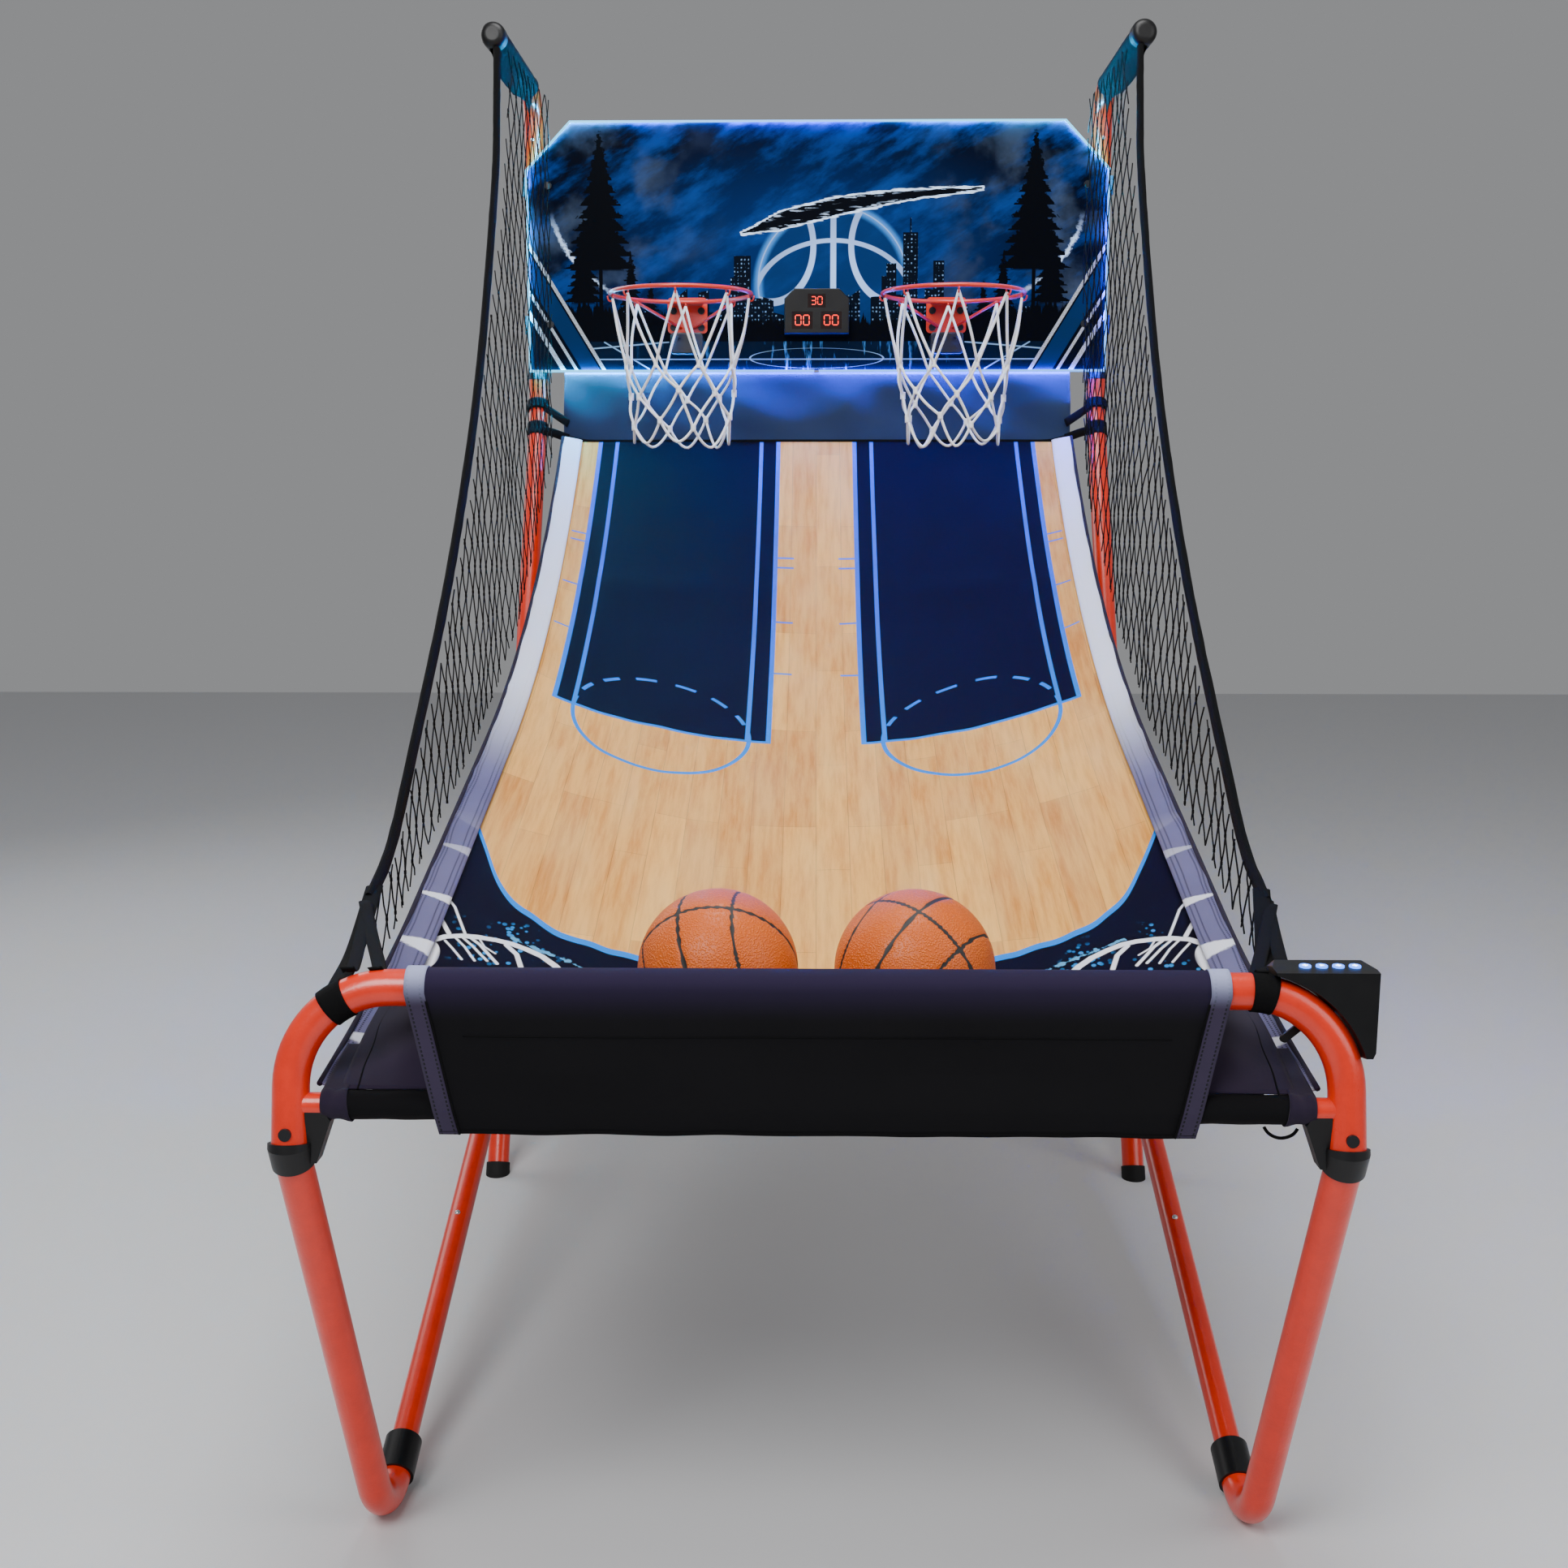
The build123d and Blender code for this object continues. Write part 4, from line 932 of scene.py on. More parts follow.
# ---- mesh helpers
class Maker:
    """Builds meshes from plain points and hands them to the frame."""

    @staticmethod
    def mesh(name: str, points: Sequence[Vector], faces: Sequence[Sequence[int]],
             flat: Optional[Sequence[tuple[float, float]]] = None, smooth: bool = True) -> bpy.types.Object:
        """Make an object from points and faces.

        Args:
            name: The piece's name.
            points: Its corners.
            faces: Corner numbers of each face.
            flat: Place of each corner on the flat cut, if it is cloth.
            smooth: Whether faces are shaded smooth.

        Returns:
            The new object.
        """
        data = bpy.data.meshes.new(name)
        data.from_pydata([tuple(p) for p in points], [], faces)
        if flat is not None:
            layer = data.uv_layers.new(name="cut")
            for loop in data.loops:
                layer.data[loop.index].uv = flat[loop.vertex_index]
        data.polygons.foreach_set("use_smooth", [smooth] * len(data.polygons))
        data.update()
        piece = bpy.data.objects.new(name, data)
        bpy.context.scene.collection.objects.link(piece)
        return piece

    @staticmethod
    def grid(name: str, across: int, along: int, place: Callable[[float, float], Point],
             flat: Callable[[float, float], tuple[float, float]], thick: float = 0.0) -> bpy.types.Object:
        """A sheet from a function of two shares from 0 to 1.

        Args:
            name: The piece's name.
            across: Cells across.
            along: Cells along.
            place: Gives a corner's place.
            flat: Gives its place on the flat cut.
            thick: Thickness of the cloth, or 0 for a bare sheet.

        Returns:
            The new object.
        """
        shares = [(i / across, j / along) for j in range(along + 1) for i in range(across + 1)]
        points = [Vector(place(a, b)) for a, b in shares]
        cuts = [flat(a, b) for a, b in shares]
        row = across + 1
        faces = [(j * row + i, j * row + i + 1, (j + 1) * row + i + 1, (j + 1) * row + i)
                 for j in range(along) for i in range(across)]
        piece = Maker.mesh(name, points, faces, cuts)
        if thick:
            solid = piece.modifiers.new("thickness", "SOLIDIFY")
            solid.thickness, solid.offset = thick, 0.0
        return piece

    @staticmethod
    def two_faced(piece: bpy.types.Object, thick: float) -> None:
        """Give a bare sheet a lower face of its own, marked so that a print can leave it plain.

        Args:
            piece: The bare sheet.
            thick: Thickness of the cloth.
        """
        mesh = bmesh.new()
        mesh.from_mesh(piece.data)
        mark = mesh.verts.layers.float.new("under")
        mesh.normal_update()
        upper = list(mesh.faces)
        rims = [edge for edge in mesh.edges if edge.is_boundary]
        copy = bmesh.ops.duplicate(mesh, geom=list(mesh.verts) + list(mesh.edges) + upper)
        twin = copy["vert_map"]
        for vert in [v for v in copy["geom"] if isinstance(v, bmesh.types.BMVert)]:
            vert.co = vert.co - vert.normal * thick
            vert[mark] = 1.0
        bmesh.ops.reverse_faces(mesh, faces=[f for f in copy["geom"] if isinstance(f, bmesh.types.BMFace)])
        for edge in rims:
            a, b = edge.verts
            mesh.faces.new((a, twin[a], twin[b], b))
        bmesh.ops.recalc_face_normals(mesh, faces=mesh.faces)
        for face in mesh.faces:
            face.smooth = True
        mesh.to_mesh(piece.data)
        mesh.free()

    @staticmethod
    def frames(path: Sequence[Vector], closed: bool = False) -> list[tuple[Vector, Vector]]:
        """Two directions square to a path at each of its points, without twist.

        Args:
            path: The path's points.
            closed: Whether the path is a loop.

        Returns:
            The pair of directions at each point.
        """
        count = len(path)
        found: list[tuple[Vector, Vector]] = []
        side: Optional[Vector] = None
        for i in range(count):
            after = path[(i + 1) % count] if closed else path[min(i + 1, count - 1)]
            before = path[i - 1] if closed or i else path[0]
            run = (after - before).normalized()
            if side is None:
                side = run.orthogonal().normalized()
            side = (side - run * side.dot(run)).normalized()
            found.append((side, run.cross(side)))
        return found

    @staticmethod
    def tubes(name: str, paths: Iterable[tuple[Sequence[Vector], float]], sides: int = 6,
              flatten: tuple[float, float] = (1.0, 1.0), hint: Optional[Vector] = None) -> bpy.types.Object:
        """Round or flattened cords along several paths, as one piece.

        Args:
            name: The piece's name.
            paths: Each path's points and its radius.
            sides: Faces round each cord.
            flatten: Scale of the section in its two directions.
            hint: Direction that the section's first axis keeps to.

        Returns:
            The new object.
        """
        points: list[Vector] = []
        faces: list[tuple[int, ...]] = []
        cuts: list[tuple[float, float]] = []
        for path, radius in paths:
            base, run = len(points), 0.0
            frames = Maker.frames(path)
            for i, here in enumerate(path):
                run += (here - path[i - 1]).length if i else 0.0
                a, b = frames[i]
                if hint is not None:
                    forward = b.cross(a) * -1.0
                    a = (hint - forward * hint.dot(forward)).normalized()
                    b = forward.cross(a)
                for k in range(sides):
                    angle = 2 * math.pi * k / sides
                    points.append(here + a * (math.cos(angle) * radius * flatten[0])
                                  + b * (math.sin(angle) * radius * flatten[1]))
                    cuts.append((radius * angle, run))
            for i in range(len(path) - 1):
                for k in range(sides):
                    n = (k + 1) % sides
                    low, high = base + i * sides, base + (i + 1) * sides
                    faces.append((low + k, low + n, high + n, high + k))
            faces.append(tuple(base + k for k in reversed(range(sides))))
            faces.append(tuple(base + (len(path) - 1) * sides + k for k in range(sides)))
        return Maker.mesh(name, points, faces, cuts)

    @staticmethod
    def smooth(points: Sequence[Point], each: int = 8) -> list[Vector]:
        """A smooth path through points.

        Args:
            points: Points that it passes through.
            each: Steps between two of them.

        Returns:
            The denser path.
        """
        spots = [Vector(p) for p in points]
        spots = [spots[0] * 2 - spots[1], *spots, spots[-1] * 2 - spots[-2]]
        path: list[Vector] = []
        for p0, p1, p2, p3 in zip(spots, spots[1:], spots[2:], spots[3:]):
            for k in range(each):
                t = k / each
                path.append(0.5 * (2 * p1 + (p2 - p0) * t + (2 * p0 - 5 * p1 + 4 * p2 - p3) * t * t
                                   + (3 * p1 - p0 - 3 * p2 + p3) * t ** 3))
        return [*path, spots[-2]]

    @staticmethod
    def dress(piece: bpy.types.Object, material: bpy.types.Material, slot: str,
              body: Optional[str] = None, replaces: Sequence[str] = ()) -> bpy.types.Object:
        """Give a piece its material and what it rides on.

        Args:
            piece: The piece.
            material: Its material.
            slot: The record's material slot; not used.
            body: The body it moves with; left out for pieces that ride on no body.
            replaces: Nodes of the frame that it stands for.

        Returns:
            The same piece.
        """
        piece.data.materials.clear()
        piece.data.materials.append(material)
        if body:
            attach(piece, body)
        if replaces:
            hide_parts(*replaces)
        return piece


def bend_with_fold(piece: bpy.types.Object) -> bpy.types.Object:
    """Bake a cloth's placement into its mesh, leaving it on no body."""
    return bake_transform(piece)


# ---- the ramp
@dataclass
class RampShape:
    """The ramp's profile: straight from the front, then curving up to the back."""

    front: tuple[float, float] = (-0.962, 0.545)
    curve: tuple[float, float] = (0.0, 0.815)
    rear: tuple[float, float] = (0.929, 1.322)
    half: float = 0.478
    sag: float = 0.024
    eye_slope: float = 0.126

    def __post_init__(self) -> None:
        """Work out the profile's slope, lengths and arc."""
        dy, dz = self.curve[0] - self.front[0], self.curve[1] - self.front[1]
        self.slope = math.atan2(dz, dy)
        self.straight = math.hypot(dy, dz)
        normal = (-math.sin(self.slope), math.cos(self.slope))
        ey, ez = self.rear[0] - self.curve[0], self.rear[1] - self.curve[1]
        self.radius = (ey * ey + ez * ez) / (2 * (ey * normal[0] + ez * normal[1]))
        self.centre = (self.curve[0] + normal[0] * self.radius, self.curve[1] + normal[1] * self.radius)
        self.angle = math.atan2(self.curve[1] - self.centre[1], self.curve[0] - self.centre[0])
        end = math.atan2(self.rear[1] - self.centre[1], self.rear[0] - self.centre[0])
        self.length = self.straight + self.radius * (end - self.angle)

    def at(self, run: float) -> tuple[float, float, float]:
        """Place and slope at a distance up the ramp.

        Args:
            run: Distance from the front, along the cloth.

        Returns:
            y, z and the slope's angle.
        """
        if run <= self.straight:
            return (self.front[0] + math.cos(self.slope) * run, self.front[1] + math.sin(self.slope) * run,
                    self.slope)
        turn = (run - self.straight) / self.radius
        angle = self.angle + turn
        return (self.centre[0] + self.radius * math.cos(angle),
                self.centre[1] + self.radius * math.sin(angle),
                self.slope + turn)

    def droop(self, x: float, run: float) -> float:
        """How far the cloth hangs below the taut line.

        Args:
            x: Place across.
            run: Distance from the front.

        Returns:
            The drop in metres.
        """
        share = max(0.0, 1.0 - (x / 0.5) ** 2)
        along = min(1.0, run / 0.25) * min(1.0, max(0.0, (self.length - run) / 0.55))
        return self.sag * share * (0.35 + 0.65 * along) * along - 0.024 * max(0.0, 1.0 - run / 0.12) ** 2

    def print_at(self, x: float, run: float) -> float:
        """Place on the print that lies at a spot of the hung cloth.

        Args:
            x: Place across.
            run: Distance from the front.

        Returns:
            Distance up the flat print.
        """
        _, _, slope = self.at(run)
        seen = run - self.droop(x, run) / (math.tan(slope) * math.cos(slope) + self.eye_slope)
        flat = seen
        for _ in range(6):
            bow = max(0.0, min(0.96, 0.96 - 1.1 * (flat - 1.2)))
            flat = seen - bow * x * x * min(1.0, max(0.35, (flat + 0.2) / 1.0))
        return flat


@dataclass
class Ramp:
    """The printed ramp cloth with its pale stitched side hems."""

    shape: RampShape = field(default_factory=RampShape)
    hem_width: float = 0.032
    hem_lift: float = 0.016

    def front_lift(self, run: float) -> float:
        """How far the hems rise to the crossbar near the front."""
        return 0.037 * max(0.0, 1.0 - run / 0.42) ** 1.6

    def build(self, looks: "Looks") -> None:
        """Make the cloth and both hems.

        Args:
            looks: The shared materials.
        """
        shape = self.shape

        def lie(a: float, b: float) -> Point:
            """Place of the cloth at two shares."""
            x, run = (2 * a - 1) * shape.half, b * shape.length
            y, z, slope = shape.at(run)
            wave = noise.noise(Vector((x * 5.0, run * 3.0, 1.0))) * 0.004 + noise.noise(Vector((x * 22.0,
                    run * 6.0, 4.0))) * 0.0012
            crease = 0.004 * math.exp(-(((run - 1.62) / 0.03) ** 2)) * math.exp(-((abs(x) - 0.3) / 0.12) ** 2)
            low = shape.droop(x, run) - wave * min(1.0, (1 - abs(2 * a - 1)) * 6) * min(1.0,
                    (shape.length - run) * 8) - crease
            return (x, y + low * math.sin(slope) * 0.3, z - 0.0015 - low)

        cloth = Maker.grid("ramp_cloth", 96, 220, lie,
                           lambda a, b: ((2 * a - 1) * shape.half,
                                         shape.print_at((2 * a - 1) * shape.half, b * shape.length)))
        Maker.two_faced(cloth, 0.0016)
        Maker.dress(cloth, looks["court"], "ramp_print", replaces=["ramp_sheet", "ramp_side_hems"])
        for side, s in SIDES:
            edges = (-shape.half + 0.004, -shape.half - 0.001 - self.hem_width)

            def fold(a: float, b: float, s: float = s, edges: tuple[float, float] = edges) -> Point:
                """Place of the hem at two shares."""
                run = b * shape.length
                y, z, slope = shape.at(run)
                x = abs(edges[0]) + (abs(edges[1]) - abs(edges[0])) * a
                lift = self.hem_lift * (a ** 0.7) * (1 - 0.4 * b) + 0.0012 * math.sin(run * 38.0) * a + 0.0016
                lift += self.front_lift(run)
                out = 0.0016 * math.sin(run * 21.0 + s) + 0.001 * math.sin(run * 57.0)
                return (s * (x + out * a), y - math.sin(slope) * lift, z + math.cos(slope) * lift)

            hem = Maker.grid(f"ramp_hem_{side}", 10, 200, fold, lambda a, b: (a * 0.034, b * shape.length),
                             0.0026)
            Maker.dress(hem, looks["hem_pale"], "ramp_hem")
            bend_with_fold(hem)
            binding = []
            for k in range(121):
                y, z, slope = shape.at(k / 120 * shape.length)
                lift = self.hem_lift * (1 - 0.4 * k / 120) + 0.002 + self.front_lift(k / 120 * shape.length)
                binding.append(Vector((s * (abs(edges[1]) + 0.001), y - math.sin(slope) * lift,
                                       z + math.cos(slope) * lift)))
            cord = Maker.tubes(f"ramp_hem_binding_{side}", [(binding, 0.0032)], 8)
            Maker.dress(cord, looks["cloth_purple"], "ramp_hem")
            bend_with_fold(cord)
        bend_with_fold(cloth)


# ---- side nets
@dataclass
class SideNets:
    """Knotted black netting on both sides, with a rolled hem strap down its front edge."""

    front: tuple[tuple[float, float, float], ...] = (
        (0.566, 0.56, 1.988), (0.563, 0.525, 1.88), (0.56, 0.487, 1.781), (0.556, 0.4, 1.645),
        (0.552, 0.29, 1.487),
        (0.548, 0.195, 1.376), (0.546, 0.101, 1.271), (0.545, -0.04, 1.128), (0.544, -0.175, 1.011),
        (0.543, -0.345, 0.88),
        (0.542, -0.507, 0.762), (0.54, -0.64, 0.716),
    )
    rear_y: float = 0.952
    top_z: float = 1.985
    cell_y: float = 0.05
    cell_z: float = 0.041
    cord: float = 0.0012

    def outline(self, shape: RampShape) -> list[tuple[float, float]]:
        """The net's edge, seen from the side."""
        low = [(shape.at(r)[0], shape.at(r)[1] + 0.004) for r in (0.3, 0.6, 0.9, 1.2, 1.45, 1.7, 1.9, 2.03)]
        front = [(y, z) for _, y, z in self.front]
        return front + low + [(self.rear_y - 0.012, 1.45), (self.rear_y, self.top_z)]

    def build(self, looks: "Looks", shape: RampShape) -> None:
        """Make the nets and their straps.

        Args:
            looks: The shared materials.
            shape: The ramp that the nets are tied to.
        """
        edge = self.outline(shape)
        for side, s in SIDES:
            rng = random.Random(11 if s < 0 else 12)
            paths = self.strands(edge, s, rng)
            net = Maker.tubes(f"side_mesh_{side}", paths, 4)
            Maker.dress(net, looks["net_black"], "side_mesh", replaces=[f"side_net_{side}"])
            bend_with_fold(net)
            path = Maker.smooth([(s * x, y, z) for x, y, z in self.front], 8)
            hem = self.rolled(f"side_net_hem_{side}", path, s, rng)
            Maker.dress(hem, looks["webbing"], "side_mesh")
            bend_with_fold(hem)
            length = sum((b - a).length for a, b in zip(path, path[1:]))
            self.straps(side, s, looks)

    def strands(self, edge: Sequence[tuple[float, float]], s: float,
                rng: random.Random) -> list[tuple[list[Vector], float]]:
        """Short cords between the knots of a diamond net, cut to its outline.

        Args:
            edge: The outline.
            s: Which side.
            rng: Seeded random numbers.

        Returns:
            Each cord's path and radius.
        """
        def within(y: float, z: float) -> bool:
            """Whether a spot is inside the outline."""
            inside = False
            for (y1, z1), (y2, z2) in zip(edge, [*edge[1:], edge[0]]):
                if (z1 > z) != (z2 > z) and y < (y2 - y1) * (z - z1) / (z2 - z1) + y1:
                    inside = not inside
            return inside

        def spot(i: int, j: int) -> tuple[float, float, float]:
            """A knot's place."""
            key = noise.noise(Vector((i * 0.31, j * 0.29, s))) * 0.012
            odd = (j % 2) * self.cell_y / 2
            y = -0.7 + i * self.cell_y + odd + key + 0.003 * math.sin(j * 2.3 + i)
            z = 0.6 + j * self.cell_z + noise.noise(Vector((i * 0.4, j * 0.3, 5.0 + s))) * 0.012
            x = 0.5325 + (0.024 * max(0.0, min(1.0, (z - 1.2) / 0.8)) * max(0.0,
                    1 - (y - 0.2) / 0.8) if z > 1.2 else 0.0)
            return (s * (x + noise.noise(Vector((y * 6.0, z * 6.0, s))) * 0.006), y, z)

        paths: list[tuple[list[Vector], float]] = []
        for j in range(36):
            for i in range(36):
                here = spot(i, j)
                for k in ((i, j + 1), (i + (1 if j % 2 else -1), j + 1)):
                    there = spot(*k)
                    a, b = Vector(here), Vector(there)
                    if not within(a.y, a.z) and not within(b.y, b.z):
                        continue
                    for one, other in ((a, b), (b, a)):
                        if not within(one.y, one.z):
                            low, high = 0.0, 1.0
                            for _ in range(8):
                                mid = (low + high) / 2
                                p = other.lerp(one, mid)
                                low, high = (mid, high) if within(p.y, p.z) else (low, mid)
                            one[:] = other.lerp(one, low)
                    if (b - a).length < 0.004:
                        continue
                    middle = (a + b) / 2 + Vector((rng.uniform(-0.001, 0.001), rng.uniform(-0.0015, 0.0015),
                            -0.0008))
                    paths.append(([a, middle, b], self.cord))
                if within(here[1], here[2]):
                    knot = Vector(here)
                    paths.append(([knot + Vector((0, 0, -0.0024)), knot, knot + Vector((0, 0, 0.0024))],
                                  0.0021))
        return paths

    def rolled(self, name: str, path: Sequence[Vector], s: float, rng: random.Random) -> bpy.types.Object:
        """The front hem: a gathered, rolled strip of webbing.

        Args:
            name: The piece's name.
            path: Its middle line.
            s: Which side.
            rng: Seeded random numbers; not used.

        Returns:
            The hem.
        """
        frames = Maker.frames(path)
        ring, points, faces, cuts, run = 12, [], [], [], 0.0
        for i, here in enumerate(path):
            run += (here - path[i - 1]).length if i else 0.0
            a, b = frames[i]
            outward = Vector((1.0, 0.0, 0.0))
            forward = a.cross(b)
            wide = forward.cross(outward).normalized()
            gather = 1.0 + 0.14 * noise.noise(Vector((run * 26.0, s, 0.0)))
            for k in range(ring):
                angle = 2 * math.pi * k / ring
                lump = 1.0 + 0.12 * noise.noise(Vector((run * 40.0, k * 1.3, s)))
                points.append(here + wide * (math.cos(angle) * 0.0115 * gather)
                              + outward * (math.sin(angle) * 0.0062 * lump))
                cuts.append((k / ring * 0.05, run))
        for i in range(len(path) - 1):
            for k in range(ring):
                n = (k + 1) % ring
                faces.append((i * ring + k, i * ring + n, (i + 1) * ring + n, (i + 1) * ring + k))
        return Maker.mesh(name, points, faces, cuts)

    def straps(self, side: str, s: float, looks: "Looks") -> None:
        """Webbing straps from the hem's foot to bands round the front bar.

        Args:
            side: The side's name.
            s: The side's sign.
            looks: The shared materials.
        """
        foot = self.front[-1]
        lean = Vector((0.0, 0.031, 0.158)).normalized()
        for place, angle in enumerate((58.0,) if s < 0 else (81.0,)):
            turn = math.radians(angle)
            path = []
            for step in range(-3, 4):
                t = turn + math.radians(step * 2.3)
                flat = Vector((s * (0.437 + 0.1 * math.cos(t)), -0.973,
                               0.699)) + lean * (0.1 * (math.sin(t) - 1.0))
                path.append(flat)
            band = Maker.tubes(f"bar_strap_band_{side}_{place + 1}", [(path, 0.0208)], 28)
            Maker.dress(band, looks["webbing"], "black_cloth", Body.FRONT.value)
            top = path[3] + lean * 0.018
            middle = (top + Vector((s * foot[0], foot[1], foot[2]))) / 2 + Vector((0, 0, -0.012))
            line = Maker.smooth([tuple(top), tuple(middle), (s * foot[0], foot[1] + 0.03, foot[2] + 0.012)],
                                10)
            strap = Maker.tubes(f"net_strap_{side}_{place + 1}", [(line, 0.0105)], 10, (1.0, 0.16),
                                Vector((1.0, 0.0, 0.0)))
            Maker.dress(strap, looks["webbing"], "black_cloth", Body.FRONT.value)
        for place, x in enumerate((0.48, 0.452)):
            top = Vector((s * foot[0], foot[1] - 0.02 * place, foot[2] + 0.004))
            low = Vector((s * x, -0.952, 0.7135))
            line = Maker.smooth([tuple(top), tuple((top + low) / 2 + Vector((0, 0, -0.004))), tuple(low),
                                 (s * x, -0.975, 0.72)], 8)
            strap = Maker.tubes(f"net_strap_{side}_{place + 2}", [(line, 0.0075)], 10, (1.0, 0.18),
                                Vector((1.0, 0.0, 0.0)))
            Maker.dress(strap, looks["webbing"], "black_cloth", Body.FRONT.value)


# ---- backboard and hoops
@dataclass
class Backboard:
    """The lit digits of the board's scoreboard; its clamps and screws are frame parts."""

    digits: tuple[tuple[float, float, float, str], ...] = (
        (0.0, 1.599, 0.015, "30"), (-0.029, 1.561, 0.019, "00"), (0.029, 1.561, 0.019, "00"),
    )
    window_y: float = 0.9362

    SEGMENTS = {
        "a": ((-0.26, 0.5), (0.26, 0.5)), "b": ((0.3, 0.46), (0.3, 0.04)), "c": ((0.3, -0.04), (0.3, -0.46)),
        "d": ((-0.26, -0.5), (0.26, -0.5)), "e": ((-0.3, -0.04), (-0.3, -0.46)),
        "f": ((-0.3, 0.46), (-0.3, 0.04)),
        "g": ((-0.26, 0.0), (0.26, 0.0)),
    }
    SHAPES = {"0": "abcdef", "1": "bc", "2": "abged", "3": "abgcd"}

    def build(self, looks: "Looks") -> None:
        """Make the lit digits.

        Args:
            looks: The shared materials.
        """
        points: list[Vector] = []
        faces: list[tuple[int, ...]] = []
        for cx, cz, height, text in self.digits:
            for place, sign in enumerate(text):
                middle = cx + (place - 0.5) * height * 0.86
                for name in self.SHAPES[sign]:
                    (x1, z1), (x2, z2) = self.SEGMENTS[name]
                    self.bar(points, faces, Vector((middle + x1 * height, self.window_y, cz + z1 * height)),
                             Vector((middle + x2 * height, self.window_y, cz + z2 * height)), height * 0.048)
        lit = Maker.mesh("scoreboard_digits", points, faces, smooth=False)
        Maker.dress(lit, looks["digit_red"], "window_tint", Body.REAR.value)

    def bar(self, points: list[Vector], faces: list[tuple[int, ...]], a: Vector, b: Vector,
            half: float) -> None:
        """Add one six-cornered segment of a digit.

        Args:
            points: Corners so far.
            faces: Faces so far.
            a: One end.
            b: Other end.
            half: Half its width.
        """
        run = (b - a).normalized()
        side = Vector((-run.z, 0.0, run.x)) * half
        ring = [a, a + run * half + side, b - run * half + side, b, b - run * half - side,
                a + run * half - side]
        base = len(points)
        points += [p.copy() for p in ring] + [p + Vector((0, -0.0004, 0)) for p in ring]
        faces.append(tuple(base + 6 + k for k in range(6)))
        for k in range(6):
            n = (k + 1) % 6
            faces.append((base + k, base + n, base + 6 + n, base + 6 + k))


@dataclass
class HoopNets:
    """White knotted cord nets and the wire hooks that hold them on the rings."""

    x: float = 0.261
    y: float = 0.78
    z: float = 1.594
    ring: float = 0.135
    hooks: int = 8
    rows: tuple[tuple[float, float], ...] = ((-0.009, 0.131), (-0.138, 0.109), (-0.194, 0.101),
            (-0.244, 0.099))
    hem_z: float = -0.292
    cord: float = 0.0026

    def build(self, looks: "Looks") -> None:
        """Make both nets and both sets of hooks.

        Args:
            looks: The shared materials.
        """
        for number, (side, s) in enumerate(SIDES):
            rng = random.Random(31 + number)
            centre = Vector((s * self.x, self.y, self.z))
            knots = self.knots(centre, rng)
            paths = []
            for row in range(len(self.rows) - 1):
                for i in range(self.hooks):
                    a = knots[row][i]
                    shift = 0 if row % 2 == 0 else 1
                    for k in ((i + shift) % self.hooks, (i + shift - 1) % self.hooks):
                        b = knots[row + 1][k]
                        sway = Vector((rng.uniform(-1, 1), rng.uniform(-1, 1), 0)) * 0.004
                        out = ((a + b) / 2 - centre).normalized() * 0.003
                        middle = (a + b) / 2 + sway + Vector((out.x, out.y, 0))
                        paths.append((Maker.smooth([tuple(a), tuple(middle), tuple(b)], 5),
                                      self.cord * rng.uniform(0.92, 1.08)))
            for row in range(1, len(self.rows)):
                for i in range(self.hooks):
                    knot = knots[row][i]
                    up = Vector((0, 0, 0.0068))
                    paths.append(([knot - up, knot - up * 0.6, knot + up * 0.6, knot + up],
                                  self.cord * (1.5 if row == 1 else 1.95)))
            last = knots[-1]
            for i, a in enumerate(last):
                b = last[(i + 1) % self.hooks]
                low = self.z + self.hem_z + rng.uniform(0.0, 0.012)
                droop = []
                for step in range(13):
                    share = step / 12
                    p = a.lerp(b, share)
                    deep = 1.0 - abs(2.0 * share - 1.0) ** 1.7
                    p.z = a.z + (b.z - a.z) * share + (low - (a.z + b.z) / 2) * deep
                    droop.append(p)
                paths.append((droop, self.cord))
            net = Maker.tubes(f"hoop_net_cords_{side}", paths, 8)
            Maker.dress(net, looks["net_white"], "net_cord", Body.REAR.value, [f"hoop_net_{side}"])
            hooks = Maker.tubes(f"net_hooks_{side}",
                                [(self.hook(centre, i), 0.0016) for i in range(self.hooks)], 8)
            Maker.dress(hooks, looks["orange"], "orange_steel", Body.REAR.value)

    def knots(self, centre: Vector, rng: random.Random) -> list[list[Vector]]:
        """Places where the net's cords meet.

        Args:
            centre: The ring's centre.
            rng: Seeded random numbers.

        Returns:
            One list of points per row.
        """
        rows = []
        for row, (drop, radius) in enumerate(self.rows):
            spots = []
            for i in range(self.hooks):
                angle = 2 * math.pi * (i + (0.5 if row % 2 else 0.0)) / self.hooks
                loose = row / (len(self.rows) - 1)
                r = radius + rng.uniform(-0.009, 0.006) * loose
                angle += rng.uniform(-0.1, 0.1) * loose
                z = drop + rng.uniform(-0.016, 0.012) * loose * (1.0 if row > 1 else 0.4)
                spots.append(centre + Vector((r * math.cos(angle), r * math.sin(angle), max(z, -0.296))))
            rows.append(spots)
        return rows

    def hook(self, centre: Vector, i: int) -> list[Vector]:
        """A small wire eye under the ring.

        Args:
            centre: The ring's centre.
            i: Which of the hooks.

        Returns:
            The wire's path.
        """
        angle = 2 * math.pi * i / self.hooks
        out = Vector((math.cos(angle), math.sin(angle), 0.0))
        path = []
        for step in range(9):
            t = math.pi * (1.0 - step / 8)
            path.append(centre + out * (self.ring + 0.0055 * math.cos(t)) + Vector((0, 0,
                    -0.0035 - 0.01 * math.sin(t))))
        return path


